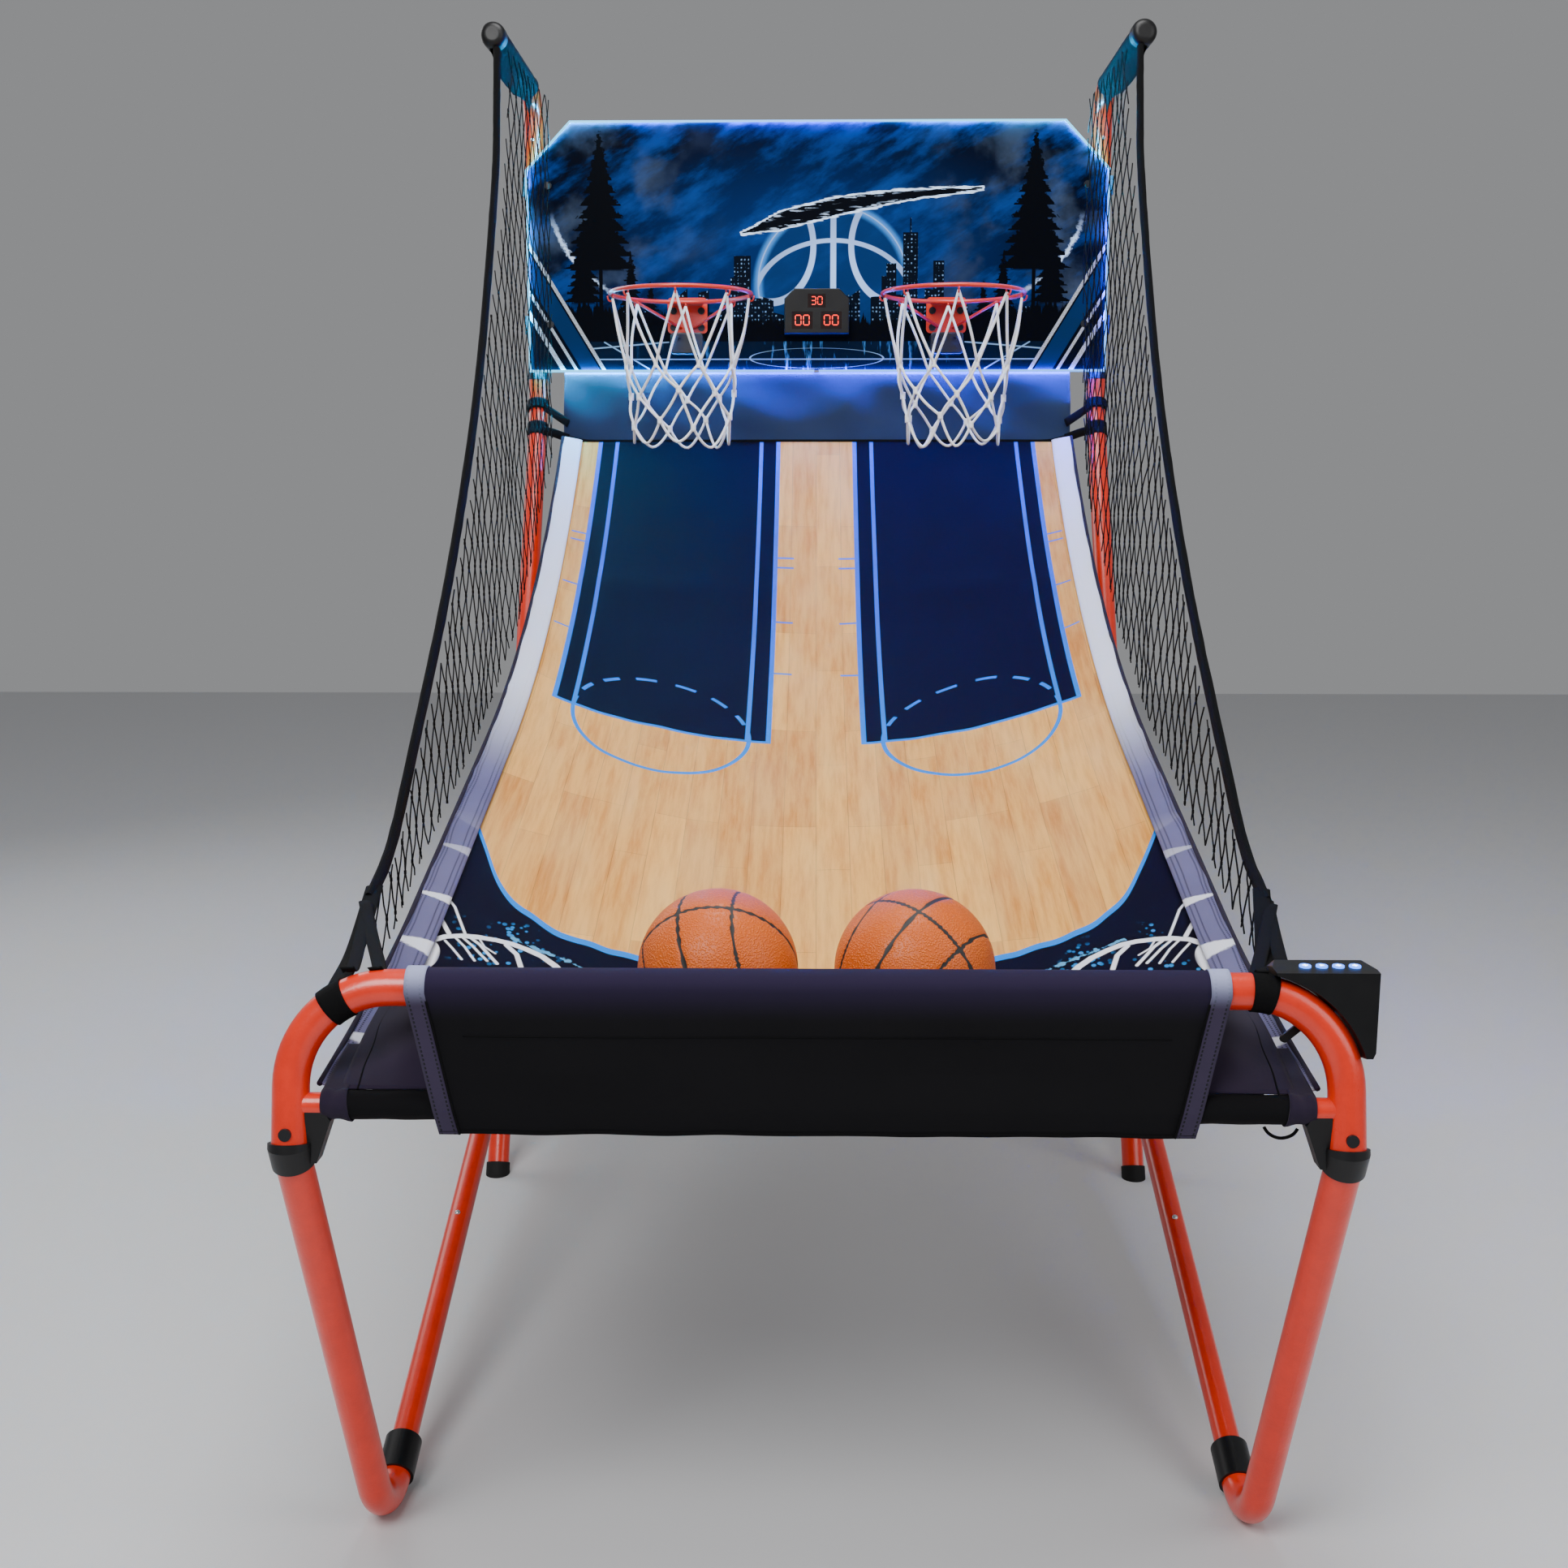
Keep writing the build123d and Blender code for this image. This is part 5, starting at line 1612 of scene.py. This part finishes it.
# ---- balls
@dataclass
class Balls:
    """Two pebbled balls with sunk black seams."""

    x: float = 0.109
    turns: tuple[tuple[float, float, float], ...] = ((1.05, 0.42, 0.25), (1.15, -0.35, 0.62))

    def build(self, looks: "Looks") -> None:
        """Make both balls.

        Args:
            looks: The shared materials.
        """
        for number, (side, _) in enumerate(SIDES):
            low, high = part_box(f"ball_{side}")
            centre, radius = (low + high) / 2, (high.z - low.z) / 2
            about_x, about_y, about_z = self.turns[number]
            turn = Matrix.Rotation(about_x, 3, "X") @ Matrix.Rotation(about_y, 3, "Y")
            turn = turn @ Matrix.Rotation(about_z, 3, "Z")
            form = bmesh.new()
            bmesh.ops.create_icosphere(form, subdivisions=6, radius=radius)
            marks = []
            for v in form.verts:
                p = turn @ v.co.normalized()
                depth = self.seam(p, radius)
                marks.append(depth)
                v.co *= 1.0 - 0.011 * depth
                v.co += centre
            data = bpy.data.meshes.new(f"game_ball_{side}")
            form.to_mesh(data)
            form.free()
            data.attributes.new("seam", "FLOAT", "POINT").data.foreach_set("value", marks)
            data.polygons.foreach_set("use_smooth", [True] * len(data.polygons))
            ball = bpy.data.objects.new(f"game_ball_{side}", data)
            bpy.context.scene.collection.objects.link(ball)
            skin = BallRubber(f"ball_rubber_{side}").make()
            Maker.dress(ball, skin, "ball_rubber", f"ball_{side}", [f"ball_{side}"])

    def seam(self, p: Vector, radius: float) -> float:
        """How deep a spot lies in a seam.

        Args:
            p: The spot, as a direction from the ball's centre.
            radius: The ball's radius.

        Returns:
            0 on the skin and 1 in the middle of a seam.
        """
        bow = math.acos(min(1.0, abs(p.x))) - (0.98 - 0.16 * (p.y * p.y))
        away = min(abs(math.asin(p.z)), abs(math.asin(p.x)), abs(bow)) * radius
        t = max(0.0, min(1.0, (0.0031 - away) / 0.0018))
        return t * t * (3 - 2 * t)


# ---- cloth at the front and back
@dataclass
class Banner:
    """The black cloth over the front bar, with paler stitched side hems and dark piping."""

    bar: tuple[float, float] = (-0.973, 0.699)
    wrap: float = 0.0204
    top_half: float = 0.417
    low_half: float = 0.381
    low_y: float = -1.0113
    low_z: float = 0.557
    hem: float = 0.021

    def profile(self) -> list[tuple[float, float]]:
        """The cloth's section: round the bar from behind, then down the front."""
        spots = []
        reach_y, reach_z = self.low_y - self.bar[0], 0.582 - self.bar[1]
        leave = math.atan2(reach_z,
                           reach_y) + 2 * math.pi - math.acos(self.wrap / math.hypot(reach_y, reach_z))
        for k in range(33):
            t = leave * k / 32
            spots.append((self.bar[0] + self.wrap * math.cos(t), self.bar[1] + self.wrap * math.sin(t)))
        last = spots[-1]
        for k in range(1, 25):
            share = k / 24
            spots.append((last[0] + (self.low_y - last[0]) * share, last[1] + (0.582 - last[1]) * share))
        for k in range(1, 7):
            spots.append((self.low_y, 0.582 + (self.low_z - 0.582) * k / 6))
        return spots

    def half_at(self, z: float) -> float:
        """Half the cloth's width at a height."""
        share = max(0.0, min(1.0, (self.bar[1] - z) / (self.bar[1] - self.low_z)))
        return self.top_half + (self.low_half - self.top_half) * share

    def build(self, looks: "Looks") -> None:
        """Make the cloth, its hems, piping and bottom seam.

        Args:
            looks: The shared materials.
        """
        spots = self.profile()
        runs = [0.0]
        for a, b in zip(spots, spots[1:]):
            runs.append(runs[-1] + math.hypot(b[0] - a[0], b[1] - a[1]))
        total = runs[-1]

        def at(share: float) -> tuple[float, float, float]:
            """Place on the section at a share of its length, and how free the cloth is there."""
            want = share * total
            k = max(i for i, run in enumerate(runs[:-1]) if run <= want + 1e-9)
            t = (want - runs[k]) / max(1e-9, runs[k + 1] - runs[k])
            y = spots[k][0] + (spots[k + 1][0] - spots[k][0]) * t
            z = spots[k][1] + (spots[k + 1][1] - spots[k][1]) * t
            free = max(0.0, min(1.0, (self.bar[1] - 0.018 - z) / 0.03)) * max(0.0,
                    min(1.0, (z - 0.59) / 0.03))
            return y, z, free

        def lie(a: float, b: float) -> Point:
            """Place of the cloth at two shares."""
            y, z, free = at(b)
            half = self.half_at(z)
            x = (2 * a - 1) * half
            wave = 0.0028 * noise.noise(Vector((x * 7.0, z * 12.0, 0.0))) + 0.0012 * math.sin(x * 9.0)
            edge = 0.0016 * noise.noise(Vector((x * 16.0, 3.0, 0.0))) * (1.0 if z < 0.57 else 0.0)
            return (x, y - 0.0004 + wave * free, z + edge)

        cloth = Maker.grid("banner_cloth", 120, 80, lie,
                           lambda a, b: ((2 * a - 1) * self.half_at(at(b)[1]), b * total), 0.0016)
        Maker.dress(cloth, looks["banner"], "banner_cloth", Body.FRONT.value, ["banner"])
        extras = []
        for side, s in SIDES:
            def strip(a: float, b: float, s: float = s) -> Point:
                """Place of a side hem at two shares."""
                y, z, free = at(b)
                x = s * (self.half_at(z) + 0.0008 - a * self.hem)
                wave = 0.0028 * noise.noise(Vector((x * 7.0, z * 12.0, 0.0))) + 0.0012 * math.sin(x * 9.0)
                push = 0.0017
                near = math.atan2(z - self.bar[1], y - self.bar[0])
                round_bar = 1.0 if math.hypot(y - self.bar[0], z - self.bar[1]) < self.wrap + 0.0006 else 0.0
                return (x, y + (push * math.cos(near) if round_bar else -push) + wave * free,
                        z + (push * math.sin(near) if round_bar else 0.0))
            hem = Maker.grid(f"banner_hem_{side}", 6, 90, strip, lambda a, b: (a * self.hem, b * total),
                             0.0012)
            Maker.dress(hem, looks["hem_purple"], "banner_cloth", Body.FRONT.value)
            piping = [Vector(strip(1.0, k / 110)) + Vector((0, -0.0006, 0)) for k in range(38, 111)]
            cord = Maker.tubes(f"banner_piping_{side}", [(piping, 0.0013)], 6)
            Maker.dress(cord, looks["webbing"], "banner_cloth", Body.FRONT.value)
            extras += [hem, cord]
        seam = [Vector(lie(k / 160, 0.985)) + Vector((0, -0.0012, 0)) for k in range(161)]
        crease = [Vector(lie(0.06 + 0.88 * k / 160, 0.52)) + Vector((0, -0.0009, 0.0004)) for k in range(161)]
        for name, line, radius in (("banner_low_seam", seam, 0.0009), ("banner_top_seam", crease, 0.0006)):
            cord = Maker.tubes(name, [(line, radius)], 5)
            Maker.dress(cord, looks["webbing"], "banner_cloth", Body.FRONT.value)
            extras.append(cord)


@dataclass
class Pocket:
    """The sleeve on the low crossbar and the side panels that close the ball pocket."""

    bar_y: float = -0.9957
    bar_z: float = 0.582
    bar_r: float = 0.0148
    half: float = 0.48

    def build(self, looks: "Looks", ramp: RampShape) -> None:
        """Make the sleeve, the panels and their pale straps.

        Args:
            looks: The shared materials.
            ramp: The ramp that the panels meet.
        """
        def wrap(a: float, b: float) -> Point:
            """Place on the sleeve at two shares."""
            angle = 2 * math.pi * a
            x = (2 * b - 1) * self.half
            r = self.bar_r + 0.0006 * noise.noise(Vector((x * 30.0, angle,
                    0.0))) + 0.0005 * abs(math.sin(x * 60.0 + angle))
            return (x, self.bar_y + r * math.cos(angle), self.bar_z + r * math.sin(angle))

        sleeve = Maker.grid("crossbar_sleeve", 28, 220, wrap,
                            lambda a, b: (a * 0.0867, b * 2 * self.half))
        Maker.dress(sleeve, looks["cloth_black"], "black_cloth", Body.FRONT.value, ["pocket_lining"])
        for side, s in SIDES:
            self.panel(side, s, looks, ramp)

    def panel(self, side: str, s: float, looks: "Looks", ramp: RampShape) -> None:
        """One side panel with a curved seam and the pale strap beside it.

        Args:
            side: The side's name.
            s: The side's sign.
            looks: The shared materials.
            ramp: The ramp that it meets.
        """
        low_front = Vector((s * 0.384, self.bar_y + 0.002, self.bar_z + 0.016))
        high_front = Vector((s * 0.41, -0.957, 0.68))
        hem_front = Vector((s * 0.486, self.bar_y + 0.002, self.bar_z + 0.016))
        back_y, back_z, _ = ramp.at(0.26)
        hem_back = Vector((s * 0.486, back_y, back_z + 0.03))

        def cloth(a: float, b: float) -> Point:
            """Place of the panel at two shares."""
            near, far = low_front.lerp(high_front, b), hem_front.lerp(hem_back, b)
            far = far + Vector((s * 0.004, 0, 0.003)) * math.sin(math.pi * b)
            p = near.lerp(far, a)
            belly = 0.006 * math.sin(math.pi * a) * math.sin(math.pi * min(1.0, b * 1.1))
            fold = 0.0015 * math.sin(b * 17.0 + a * 6.0) * math.sin(math.pi * a)
            return (p.x + s * (belly + fold), p.y, p.z - belly * 0.3)

        panel = Maker.grid(f"pocket_side_{side}", 22, 30, cloth, lambda a, b: (a * 0.07, b * 0.115), 0.0014)
        Maker.dress(panel, looks["cloth_purple"], "black_cloth", Body.FRONT.value)
        seam = [Vector(cloth(0.84 - 0.05 * math.sin(math.pi * k / 40), k / 40)) + Vector((-s * 0.001,
                -0.0018, 0)) for k in range(41)]
        stitching = Maker.tubes(f"pocket_seam_{side}", [(seam, 0.0011)], 6)
        Maker.dress(stitching, looks["webbing"], "black_cloth", Body.FRONT.value)

        def strip(a: float, b: float) -> Point:
            """Place of the pale strap at two shares."""
            x = s * (0.4775 + 0.026 * a)
            if b < 0.5:
                t = math.pi * (0.5 + 1.05 * (0.5 - b) / 0.5)
                r = 0.016 + 0.0008 * math.sin(a * 9.0 + b * 14.0)
                slant = 1.0 - 0.5 * (0.5 - b) * a
                return (x - s * 0.01 * (0.5 - b) * (1 - a), self.bar_y + r * math.cos(t) * slant,
                        self.bar_z + r * math.sin(t) * slant)
            share = (b - 0.5) / 0.5
            y, z, _ = ramp.at(0.06)
            lift = 0.0535
            return (x, self.bar_y + (y + 0.01 - self.bar_y) * share,
                    self.bar_z + 0.016 + (z + lift - self.bar_z - 0.016) * share)

        pale = Maker.grid(f"pocket_strap_{side}", 8, 70, strip, lambda a, b: (a * 0.026, b * 0.12), 0.0014)
        Maker.dress(pale, looks["cloth_purple"], "ramp_hem", Body.FRONT.value)
        panel.data.update()


@dataclass
class BackPanel:
    """The dark cloth between the ramp and the board, tied to both poles."""

    low: tuple[float, float] = (0.9385, 1.316)
    high: tuple[float, float] = (0.9665, 1.4605)
    half: float = 0.512

    def build(self, looks: "Looks") -> None:
        """Make the cloth, its seam, its ties and the bands on the poles.

        Args:
            looks: The shared materials.
        """
        def lie(a: float, b: float) -> Point:
            """Place of the cloth at two shares."""
            x = (2 * a - 1) * self.half
            y = self.low[0] + (self.high[0] - self.low[0]) * b
            z = self.low[1] + (self.high[1] - self.low[1]) * b
            hang = math.sin(math.pi * b)
            fold = 0.01 * noise.noise(Vector((x * 7.0, b * 1.6, 2.0))) + 0.004 * math.sin(x * 31.0 + b * 5.0)
            pull = 0.01 * math.exp(-((abs(x) - self.half) / 0.05) ** 2) * (1 - b)
            corner = 0.012 * math.exp(-((abs(x) - self.half) / 0.03) ** 2) * math.exp(-(b / 0.2) ** 2)
            return (x, y + fold * hang - 0.004 * hang, z + corner - pull * 0.2)

        cloth = Maker.grid("back_cloth", 120, 30, lie, lambda a, b: ((2 * a - 1) * self.half, b * 0.148),
                           0.0016)
        # Its raised blue is partly painted light standing in for the LED glow
        Maker.dress(cloth, looks["cloth_navy"], "black_cloth", Body.REAR.value, ["back_panel"])
        seam = [Vector(lie(k / 140, 0.04)) + Vector((0, -0.002, 0)) for k in range(141)]
        tape = Maker.tubes("back_cloth_tape", [(seam, 0.004)], 8, (1.0, 0.35), Vector((0, 0, 1)))
        Maker.dress(tape, looks["webbing"], "black_cloth", Body.REAR.value)
        for side, s in SIDES:
            foot, top = Vector((s * 0.572, 0.329, 0.0)), Vector((s * 0.572, 1.007, 1.399))
            run = (top - foot).normalized()
            for place, (z, wide) in enumerate(((1.345, 0.028), (1.395, 0.02))):
                here = foot + run * (z / run.z)
                path = [here + run * (wide * (k / 6 - 0.5)) for k in range(7)]
                if z > 1.36:
                    path = [p + Vector((0, -0.0055, 0)) for p in path]
                band = Maker.tubes(f"pole_tie_{side}_{place + 1}",
                                   [(path, 0.0212 if place == 0 else 0.0225)], 28)
                Maker.dress(band, looks["webbing"], "black_cloth", Body.REAR.value)
                start = Vector((s * (self.half - 0.01), 0.934, 1.328 + place * 0.03))
                line = Maker.smooth([tuple(start), tuple((start + here) / 2 + Vector((0, -0.012, 0.004))),
                                     tuple(here + Vector((-s * 0.012, -0.019, 0)))], 8)
                strap = Maker.tubes(f"pole_tie_strap_{side}_{place + 1}", [(line, 0.0085)], 10, (1.0, 0.2),
                                    Vector((0, 0, 1)))
                Maker.dress(strap, looks["webbing"], "black_cloth", Body.REAR.value)


@dataclass
class ArmSleeves:
    """Cloth sleeves on both top arms, with a flap that the side nets hang from."""

    x: float = 0.572
    z: float = 2.012
    front: float = 0.566
    rear: float = 0.945
    radius: float = 0.0206
    flap: float = 0.04

    def build(self, looks: "Looks") -> None:
        """Make both sleeves.

        Args:
            looks: The shared materials.
        """
        ring = 40
        for side, s in SIDES:
            def wrap(a: float, b: float, s: float = s) -> Point:
                """Place on the sleeve at two shares."""
                y = self.front + (self.rear - self.front) * b
                ruck = 0.0009 * noise.noise(Vector((a * 9.0, y * 40.0, s))) + 0.0007 * abs(math.sin(y * 95.0))
                turn = 2 * math.pi * a - math.pi / 2
                r = self.radius + ruck
                hang = max(0.0, 1.0 - min(a, 1 - a) / 0.07)
                drop = self.flap * (0.75 + 0.25 * math.sin(y * 20.0)) * hang
                sway = 0.004 * math.sin(y * 33.0) * hang
                return (s * self.x + r * math.cos(turn) + sway * s, y,
                        min(self.z + r * math.sin(turn), 2.0335) - drop)

            sleeve = Maker.grid(f"arm_cloth_{side}", ring, 110, wrap, lambda a, b: (a * 0.2, b * 0.38))
            replaces = ["arm_sleeves"] if s < 0 else []
            Maker.dress(sleeve, looks["cloth_black"], "black_cloth", Body.REAR.value, replaces)


# ---- small parts
@dataclass
class ControlKeys:
    """White marks on the four lit keys: plus, play, plus, plus."""

    lift: float = 0.00025

    def build(self, looks: "Looks") -> None:
        """Make the four marks.

        Args:
            looks: The shared materials.
        """
        for number in range(1, 5):
            node = bpy.data.objects[f"control_key_{number}"]
            normal = Vector((0.0, 0.0, 0.0))
            top = max(node.data.polygons, key=lambda f: f.normal.z * f.area if f.normal.z > 0.5 else 0.0)
            normal = top.normal.normalized()
            high = max(v.co.dot(normal) for v in node.data.vertices)
            flat = [v.co for v in node.data.vertices if v.co.dot(normal) > high - 0.00005]
            centre = sum((Vector(c) for c in flat), Vector()) / len(flat)
            right = Vector((1.0, 0.0, 0.0))
            up = normal.cross(right).normalized()
            if number == 2:
                shapes = [[(-0.0018, -0.0024), (0.0026, 0.0), (-0.0018, 0.0024)]]
            else:
                shapes = [[(-0.0027, -0.0007), (0.0027, -0.0007), (0.0027, 0.0007), (-0.0027, 0.0007)],
                          [(-0.0007, -0.0027), (0.0007, -0.0027), (0.0007, 0.0027), (-0.0007, 0.0027)]]
            points: list[Vector] = []
            faces: list[tuple[int, ...]] = []
            for place, shape in enumerate(shapes):
                base = len(points)
                lift = normal * (self.lift + place * 0.00004)
                ring = [centre + right * x + up * y for x, y in shape]
                points += ring + [p + lift for p in ring]
                count = len(ring)
                faces.append(tuple(base + count + k for k in range(count)))
                faces += [(base + k, base + (k + 1) % count, base + count + (k + 1) % count, base + count + k)
                          for k in range(count)]
            mark = Maker.mesh(f"key_mark_{number}", points, faces, smooth=False)
            Maker.dress(mark, looks["mark_white"], "lit_key", f"control_key_{number}")


@dataclass
class Drawstring:
    """The short limp loop that hangs under the right end of the crossbar."""

    route: tuple[Point, ...] = (
        (0.454, -0.997, 0.564), (0.456, -0.9977, 0.56), (0.4605, -0.999, 0.5562), (0.466, -0.9996, 0.5538),
        (0.4715, -0.9998, 0.5532), (0.4775, -0.9992, 0.5541), (0.4825, -0.9985, 0.5562),
        (0.486, -0.9977, 0.5592),
        (0.488, -0.997, 0.5625),
    )
    thick: float = 0.0035

    def build(self, looks: "Looks") -> None:
        """Make the cord.

        Args:
            looks: The shared materials.
        """
        curve = bpy.data.curves.new("drawstring", "CURVE")
        curve.dimensions = "3D"
        curve.bevel_depth, curve.bevel_resolution, curve.resolution_u = self.thick / 2, 6, 16
        curve.use_fill_caps = True
        line = curve.splines.new("NURBS")
        line.points.add(len(self.route) - 1)
        for point, spot in zip(line.points, self.route):
            point.co = (*spot, 1.0)
        line.order_u = 3
        line.use_endpoint_u = True
        cord = bpy.data.objects.new("drawstring", curve)
        bpy.context.scene.collection.objects.link(cord)
        Maker.dress(cord, looks["webbing"], "black_cloth", Body.FRONT.value, ["drawstring_loop"])
        length = sum((Vector(b) - Vector(a)).length for a, b in zip(self.route, self.route[1:]))
        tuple(self.route[0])


# ---- finishes for everything
class Looks:
    """All shared materials by short name."""

    def __init__(self) -> None:
        """Make each material once."""
        purple = (0.021, 0.014, 0.033)
        makers = {
            "orange": Powder(),
            "plastic": Finish("black_plastic", (0.0045, 0.0045, 0.005), 0.4, 1600.0, 0.00006, shine=0.35),
            "box_plastic": Finish("box_plastic", (0.0035, 0.0035, 0.004), 0.34, 2200.0, 0.00004, shine=0.35),
            "rubber": Finish("black_rubber", (0.006, 0.006, 0.006), 0.74, 700.0, 0.0001, shine=0.3),
            "bolt": Finish("black_bolt", (0.022, 0.022, 0.024), 0.36, 500.0, 0.00004, metal=0.7),
            "zinc": Finish("zinc_steel", (0.66, 0.66, 0.68), 0.28, 900.0, 0.00003, metal=1.0),
            "circuit": Finish("circuit_board", (0.01, 0.11, 0.035), 0.4, 500.0, 0.0001),
            "window": Finish("window_tint", (0.01, 0.002, 0.002), 0.12, 300.0, 0.00001, coat=0.6),
            "key": Finish("lit_key", (0.05, 0.16, 0.7), 0.3, 300.0, 0.00002, glow=3.2,
                          glow_colour=(0.05, 0.22, 1.0)),
            "mark_white": Finish("mark_white", (0.9, 0.95, 1.0), 0.4, 300.0, 0.00001, glow=7.0,
                                 glow_colour=(0.75, 0.87, 1.0)),
            "digit_red": Finish("digit_red", (0.9, 0.05, 0.02), 0.4, 300.0, 0.00001, glow=2.6,
                                glow_colour=(1.0, 0.012, 0.003)),
            "eye": Finish("sensor_plastic", (0.012, 0.011, 0.012), 0.3, 1200.0, 0.00005),
            "court": RampPrint(),
            "board": BoardPrint(),
            "led": LedGlow(),
            # The banner's purple top_highlight is a painted highlight where the cloth wraps over the bar
            "banner": Weave("banner_cloth", (0.003, 0.0028, 0.004), 0.001, 0.00018, 0.62, 0.0,
                            top_highlight=(0.02, 0.013, 0.042)),
            "cloth_black": Weave("black_cloth", (0.003, 0.003, 0.004), 0.0012, 0.00022, 0.72, 0.0),
            # The back cloth's navy is raised in blue above its own dark colour so the LED glow shows strongly
            # on it: part real colour, part painted light
            "cloth_navy": Weave("navy_and_glow_cloth", (0.01, 0.026, 0.085), 0.0012, 0.00022, 0.55, 0.05, shine=0.3),
            "cloth_purple": Weave("purple_cloth", purple, 0.0011, 0.0002, 0.74, 0.05),
            # The purple hem's pale blue top_highlight is a painted highlight where it wraps over the bar
            "hem_purple": Weave("purple_hem", (0.042, 0.032, 0.064), 0.0011, 0.0002, 0.74, 0.05,
                                (0.0035, 0.0165), (0.012, 0.012, 0.016),
                                top_highlight=(0.4, 0.43, 0.66), top_highlight_ends=(0.04, 0.078)),
            # The white ramp hem is drawn purple-grey as painted shade, with white lit_patches as painted
            # highlight
            "hem_pale": Weave("pale_hem", (0.15, 0.14, 0.28), 0.0011, 0.00022, 0.7, 0.1,
                              (0.0045, 0.01, 0.0265, 0.0305), (0.02, 0.018, 0.045),
                              lit_patches=(0.86, 0.87, 0.95)),
            "webbing": Weave("black_webbing", (0.0026, 0.0026, 0.003), 0.0019, 0.0004, 0.75, 0.0),
            "net_black": Finish("net_black", (0.0022, 0.0022, 0.0028), 0.7, 2600.0, 0.0002, shine=0.15),
            "net_white": Finish("net_white", (0.96, 0.96, 0.98), 0.72, 1500.0, 0.0006, patchy=0.05,
                                sheen=0.3),
        }
        self.made = {name: maker.make() for name, maker in makers.items()}

    def __getitem__(self, name: str) -> bpy.types.Material:
        """The material of that name."""
        return self.made[name]


@dataclass
class FrameParts:
    """Finishes for the parts that come straight from the frame."""

    finishes: tuple[tuple[str, tuple[str, ...]], ...] = (
        ("orange", ("rear_pole_left", "rear_pole_right", "mast_left", "mast_right", "arm_left", "arm_right",
                    "board_crossbars", "hoop_left", "hoop_right", "leg_left", "leg_right", "bent_foot_left",
                    "bent_foot_right", "brace_front_left", "brace_front_right", "brace_rear_left",
                    "brace_rear_right", "front_bar", "crossbar")),
        ("plastic", ("pole_collars", "arm_end_caps", "board_saddle_clamps", "pivot_spacers",
                     "corner_couplers",
                     "foot_sleeves", "clamp_lever")),
        ("box_plastic", ("scoreboard_housing", "control_box_front", "control_box_back")),
        ("eye", ("score_sensors",)),
        ("rubber", ("rear_foot_caps",)),
        ("bolt", ("board_bolts", "front_bar_bolts", "fold_pivot_bolts")),
        ("zinc", ("brace_snap_left", "brace_snap_right", "arm_snap_left", "arm_snap_right")),
        ("circuit", ("scoreboard_display_board", "control_circuit_board")),
        ("window", ("scoreboard_windows",)),
        ("key", ("control_key_1", "control_key_2", "control_key_3", "control_key_4")),
        ("board", ("backboard_panel",)),
        ("led", ("led_edge_strip",)),
    )

    def build(self, looks: "Looks", nodes: dict[str, bpy.types.Object]) -> None:
        """Put a finish on each part that is shown.

        Args:
            looks: The shared materials.
            nodes: The frame's parts by name.
        """
        for look, names in self.finishes:
            for name in names:
                data = nodes[name].data
                data.materials.clear()
                data.materials.append(looks[look])


# ---- surroundings
@dataclass
class Studio:
    """The camera, a pale floor and soft lights."""

    eye: Point = (-0.003, -2.742, 1.18)
    tilt: float = 0.151
    turn: float = 0.017
    lens: float = 40.99

    def camera(self) -> None:
        """Place the camera."""
        data = bpy.data.cameras.new("camera")
        data.lens, data.sensor_width, data.clip_end = self.lens, 36.0, 60.0
        camera = bpy.data.objects.new("camera", data)
        camera.location = self.eye
        camera.rotation_euler = (math.pi / 2 - self.tilt, 0.0, self.turn)
        bpy.context.scene.collection.objects.link(camera)
        bpy.context.scene.camera = camera

    def stage(self) -> None:
        """Make the floor, the sky and the lamps."""
        half, back = 9.0, 9.0
        floor = Maker.mesh("floor",
                           [Vector((-half, -half, 0)), Vector((half, -half, 0)), Vector((half, back, 0)),
                                     Vector((-half, back, 0))], [(0, 1, 2, 3)], smooth=False)
        floor.data.materials.append(Finish("pale_floor", (0.62, 0.62, 0.63), 0.7, 60.0, 0.0002,
                patchy=0.01).make())
        world = bpy.data.worlds.new("studio")
        world.use_nodes = True
        world.node_tree.nodes["Background"].inputs[0].default_value = (0.8, 0.81, 0.83, 1.0)
        world.node_tree.nodes["Background"].inputs[1].default_value = 0.34
        bpy.context.scene.world = world
        for name, place, aim, size, power in (
            ("lamp_key", (-1.2, -3.2, 3.3), (0.0, -0.2, 0.8), 1.8, 120.0),
            ("lamp_fill", (2.6, -2.0, 2.2), (0.0, 0.0, 0.9), 2.2, 40.0),
            ("lamp_top", (0.0, -0.4, 3.6), (0.0, 0.1, 0.8), 1.4, 70.0),
            ("lamp_rim", (-2.6, 2.2, 2.6), (0.0, 0.2, 1.0), 2.0, 30.0),
        ):
            data = bpy.data.lights.new(name, "AREA")
            data.size, data.energy = size, power
            lamp = bpy.data.objects.new(name, data)
            lamp.location = place
            lamp.rotation_euler = (Vector(aim) - Vector(place)).to_track_quat("-Z", "Y").to_euler()
            bpy.context.scene.collection.objects.link(lamp)


def main() -> None:
    """Build the looks in order and log each step."""
    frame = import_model()
    studio = Studio()
    studio.camera()
    looks = Looks()
    ramp = Ramp()
    steps: tuple[tuple[str, Callable[[], None]], ...] = (
        ("drawstring", lambda: Drawstring().build(looks)),
        ("frame parts", lambda: FrameParts().build(looks, frame["nodes"])),
        ("ramp", lambda: ramp.build(looks)),
        ("side nets", lambda: SideNets().build(looks, ramp.shape)),
        ("scoreboard", lambda: Backboard().build(looks)),
        ("hoop nets", lambda: HoopNets().build(looks)),
        ("balls", lambda: Balls().build(looks)),
        ("banner", lambda: Banner().build(looks)),
        ("ball pocket", lambda: Pocket().build(looks, ramp.shape)),
        ("back cloth", lambda: BackPanel().build(looks)),
        ("arm sleeves", lambda: ArmSleeves().build(looks)),
        ("keys", lambda: ControlKeys().build(looks)),
        ("studio", studio.stage),
    )
    for name, step in steps:
        step()
        LOG.info("made %s", name)


if __name__ == "__main__":
    main()
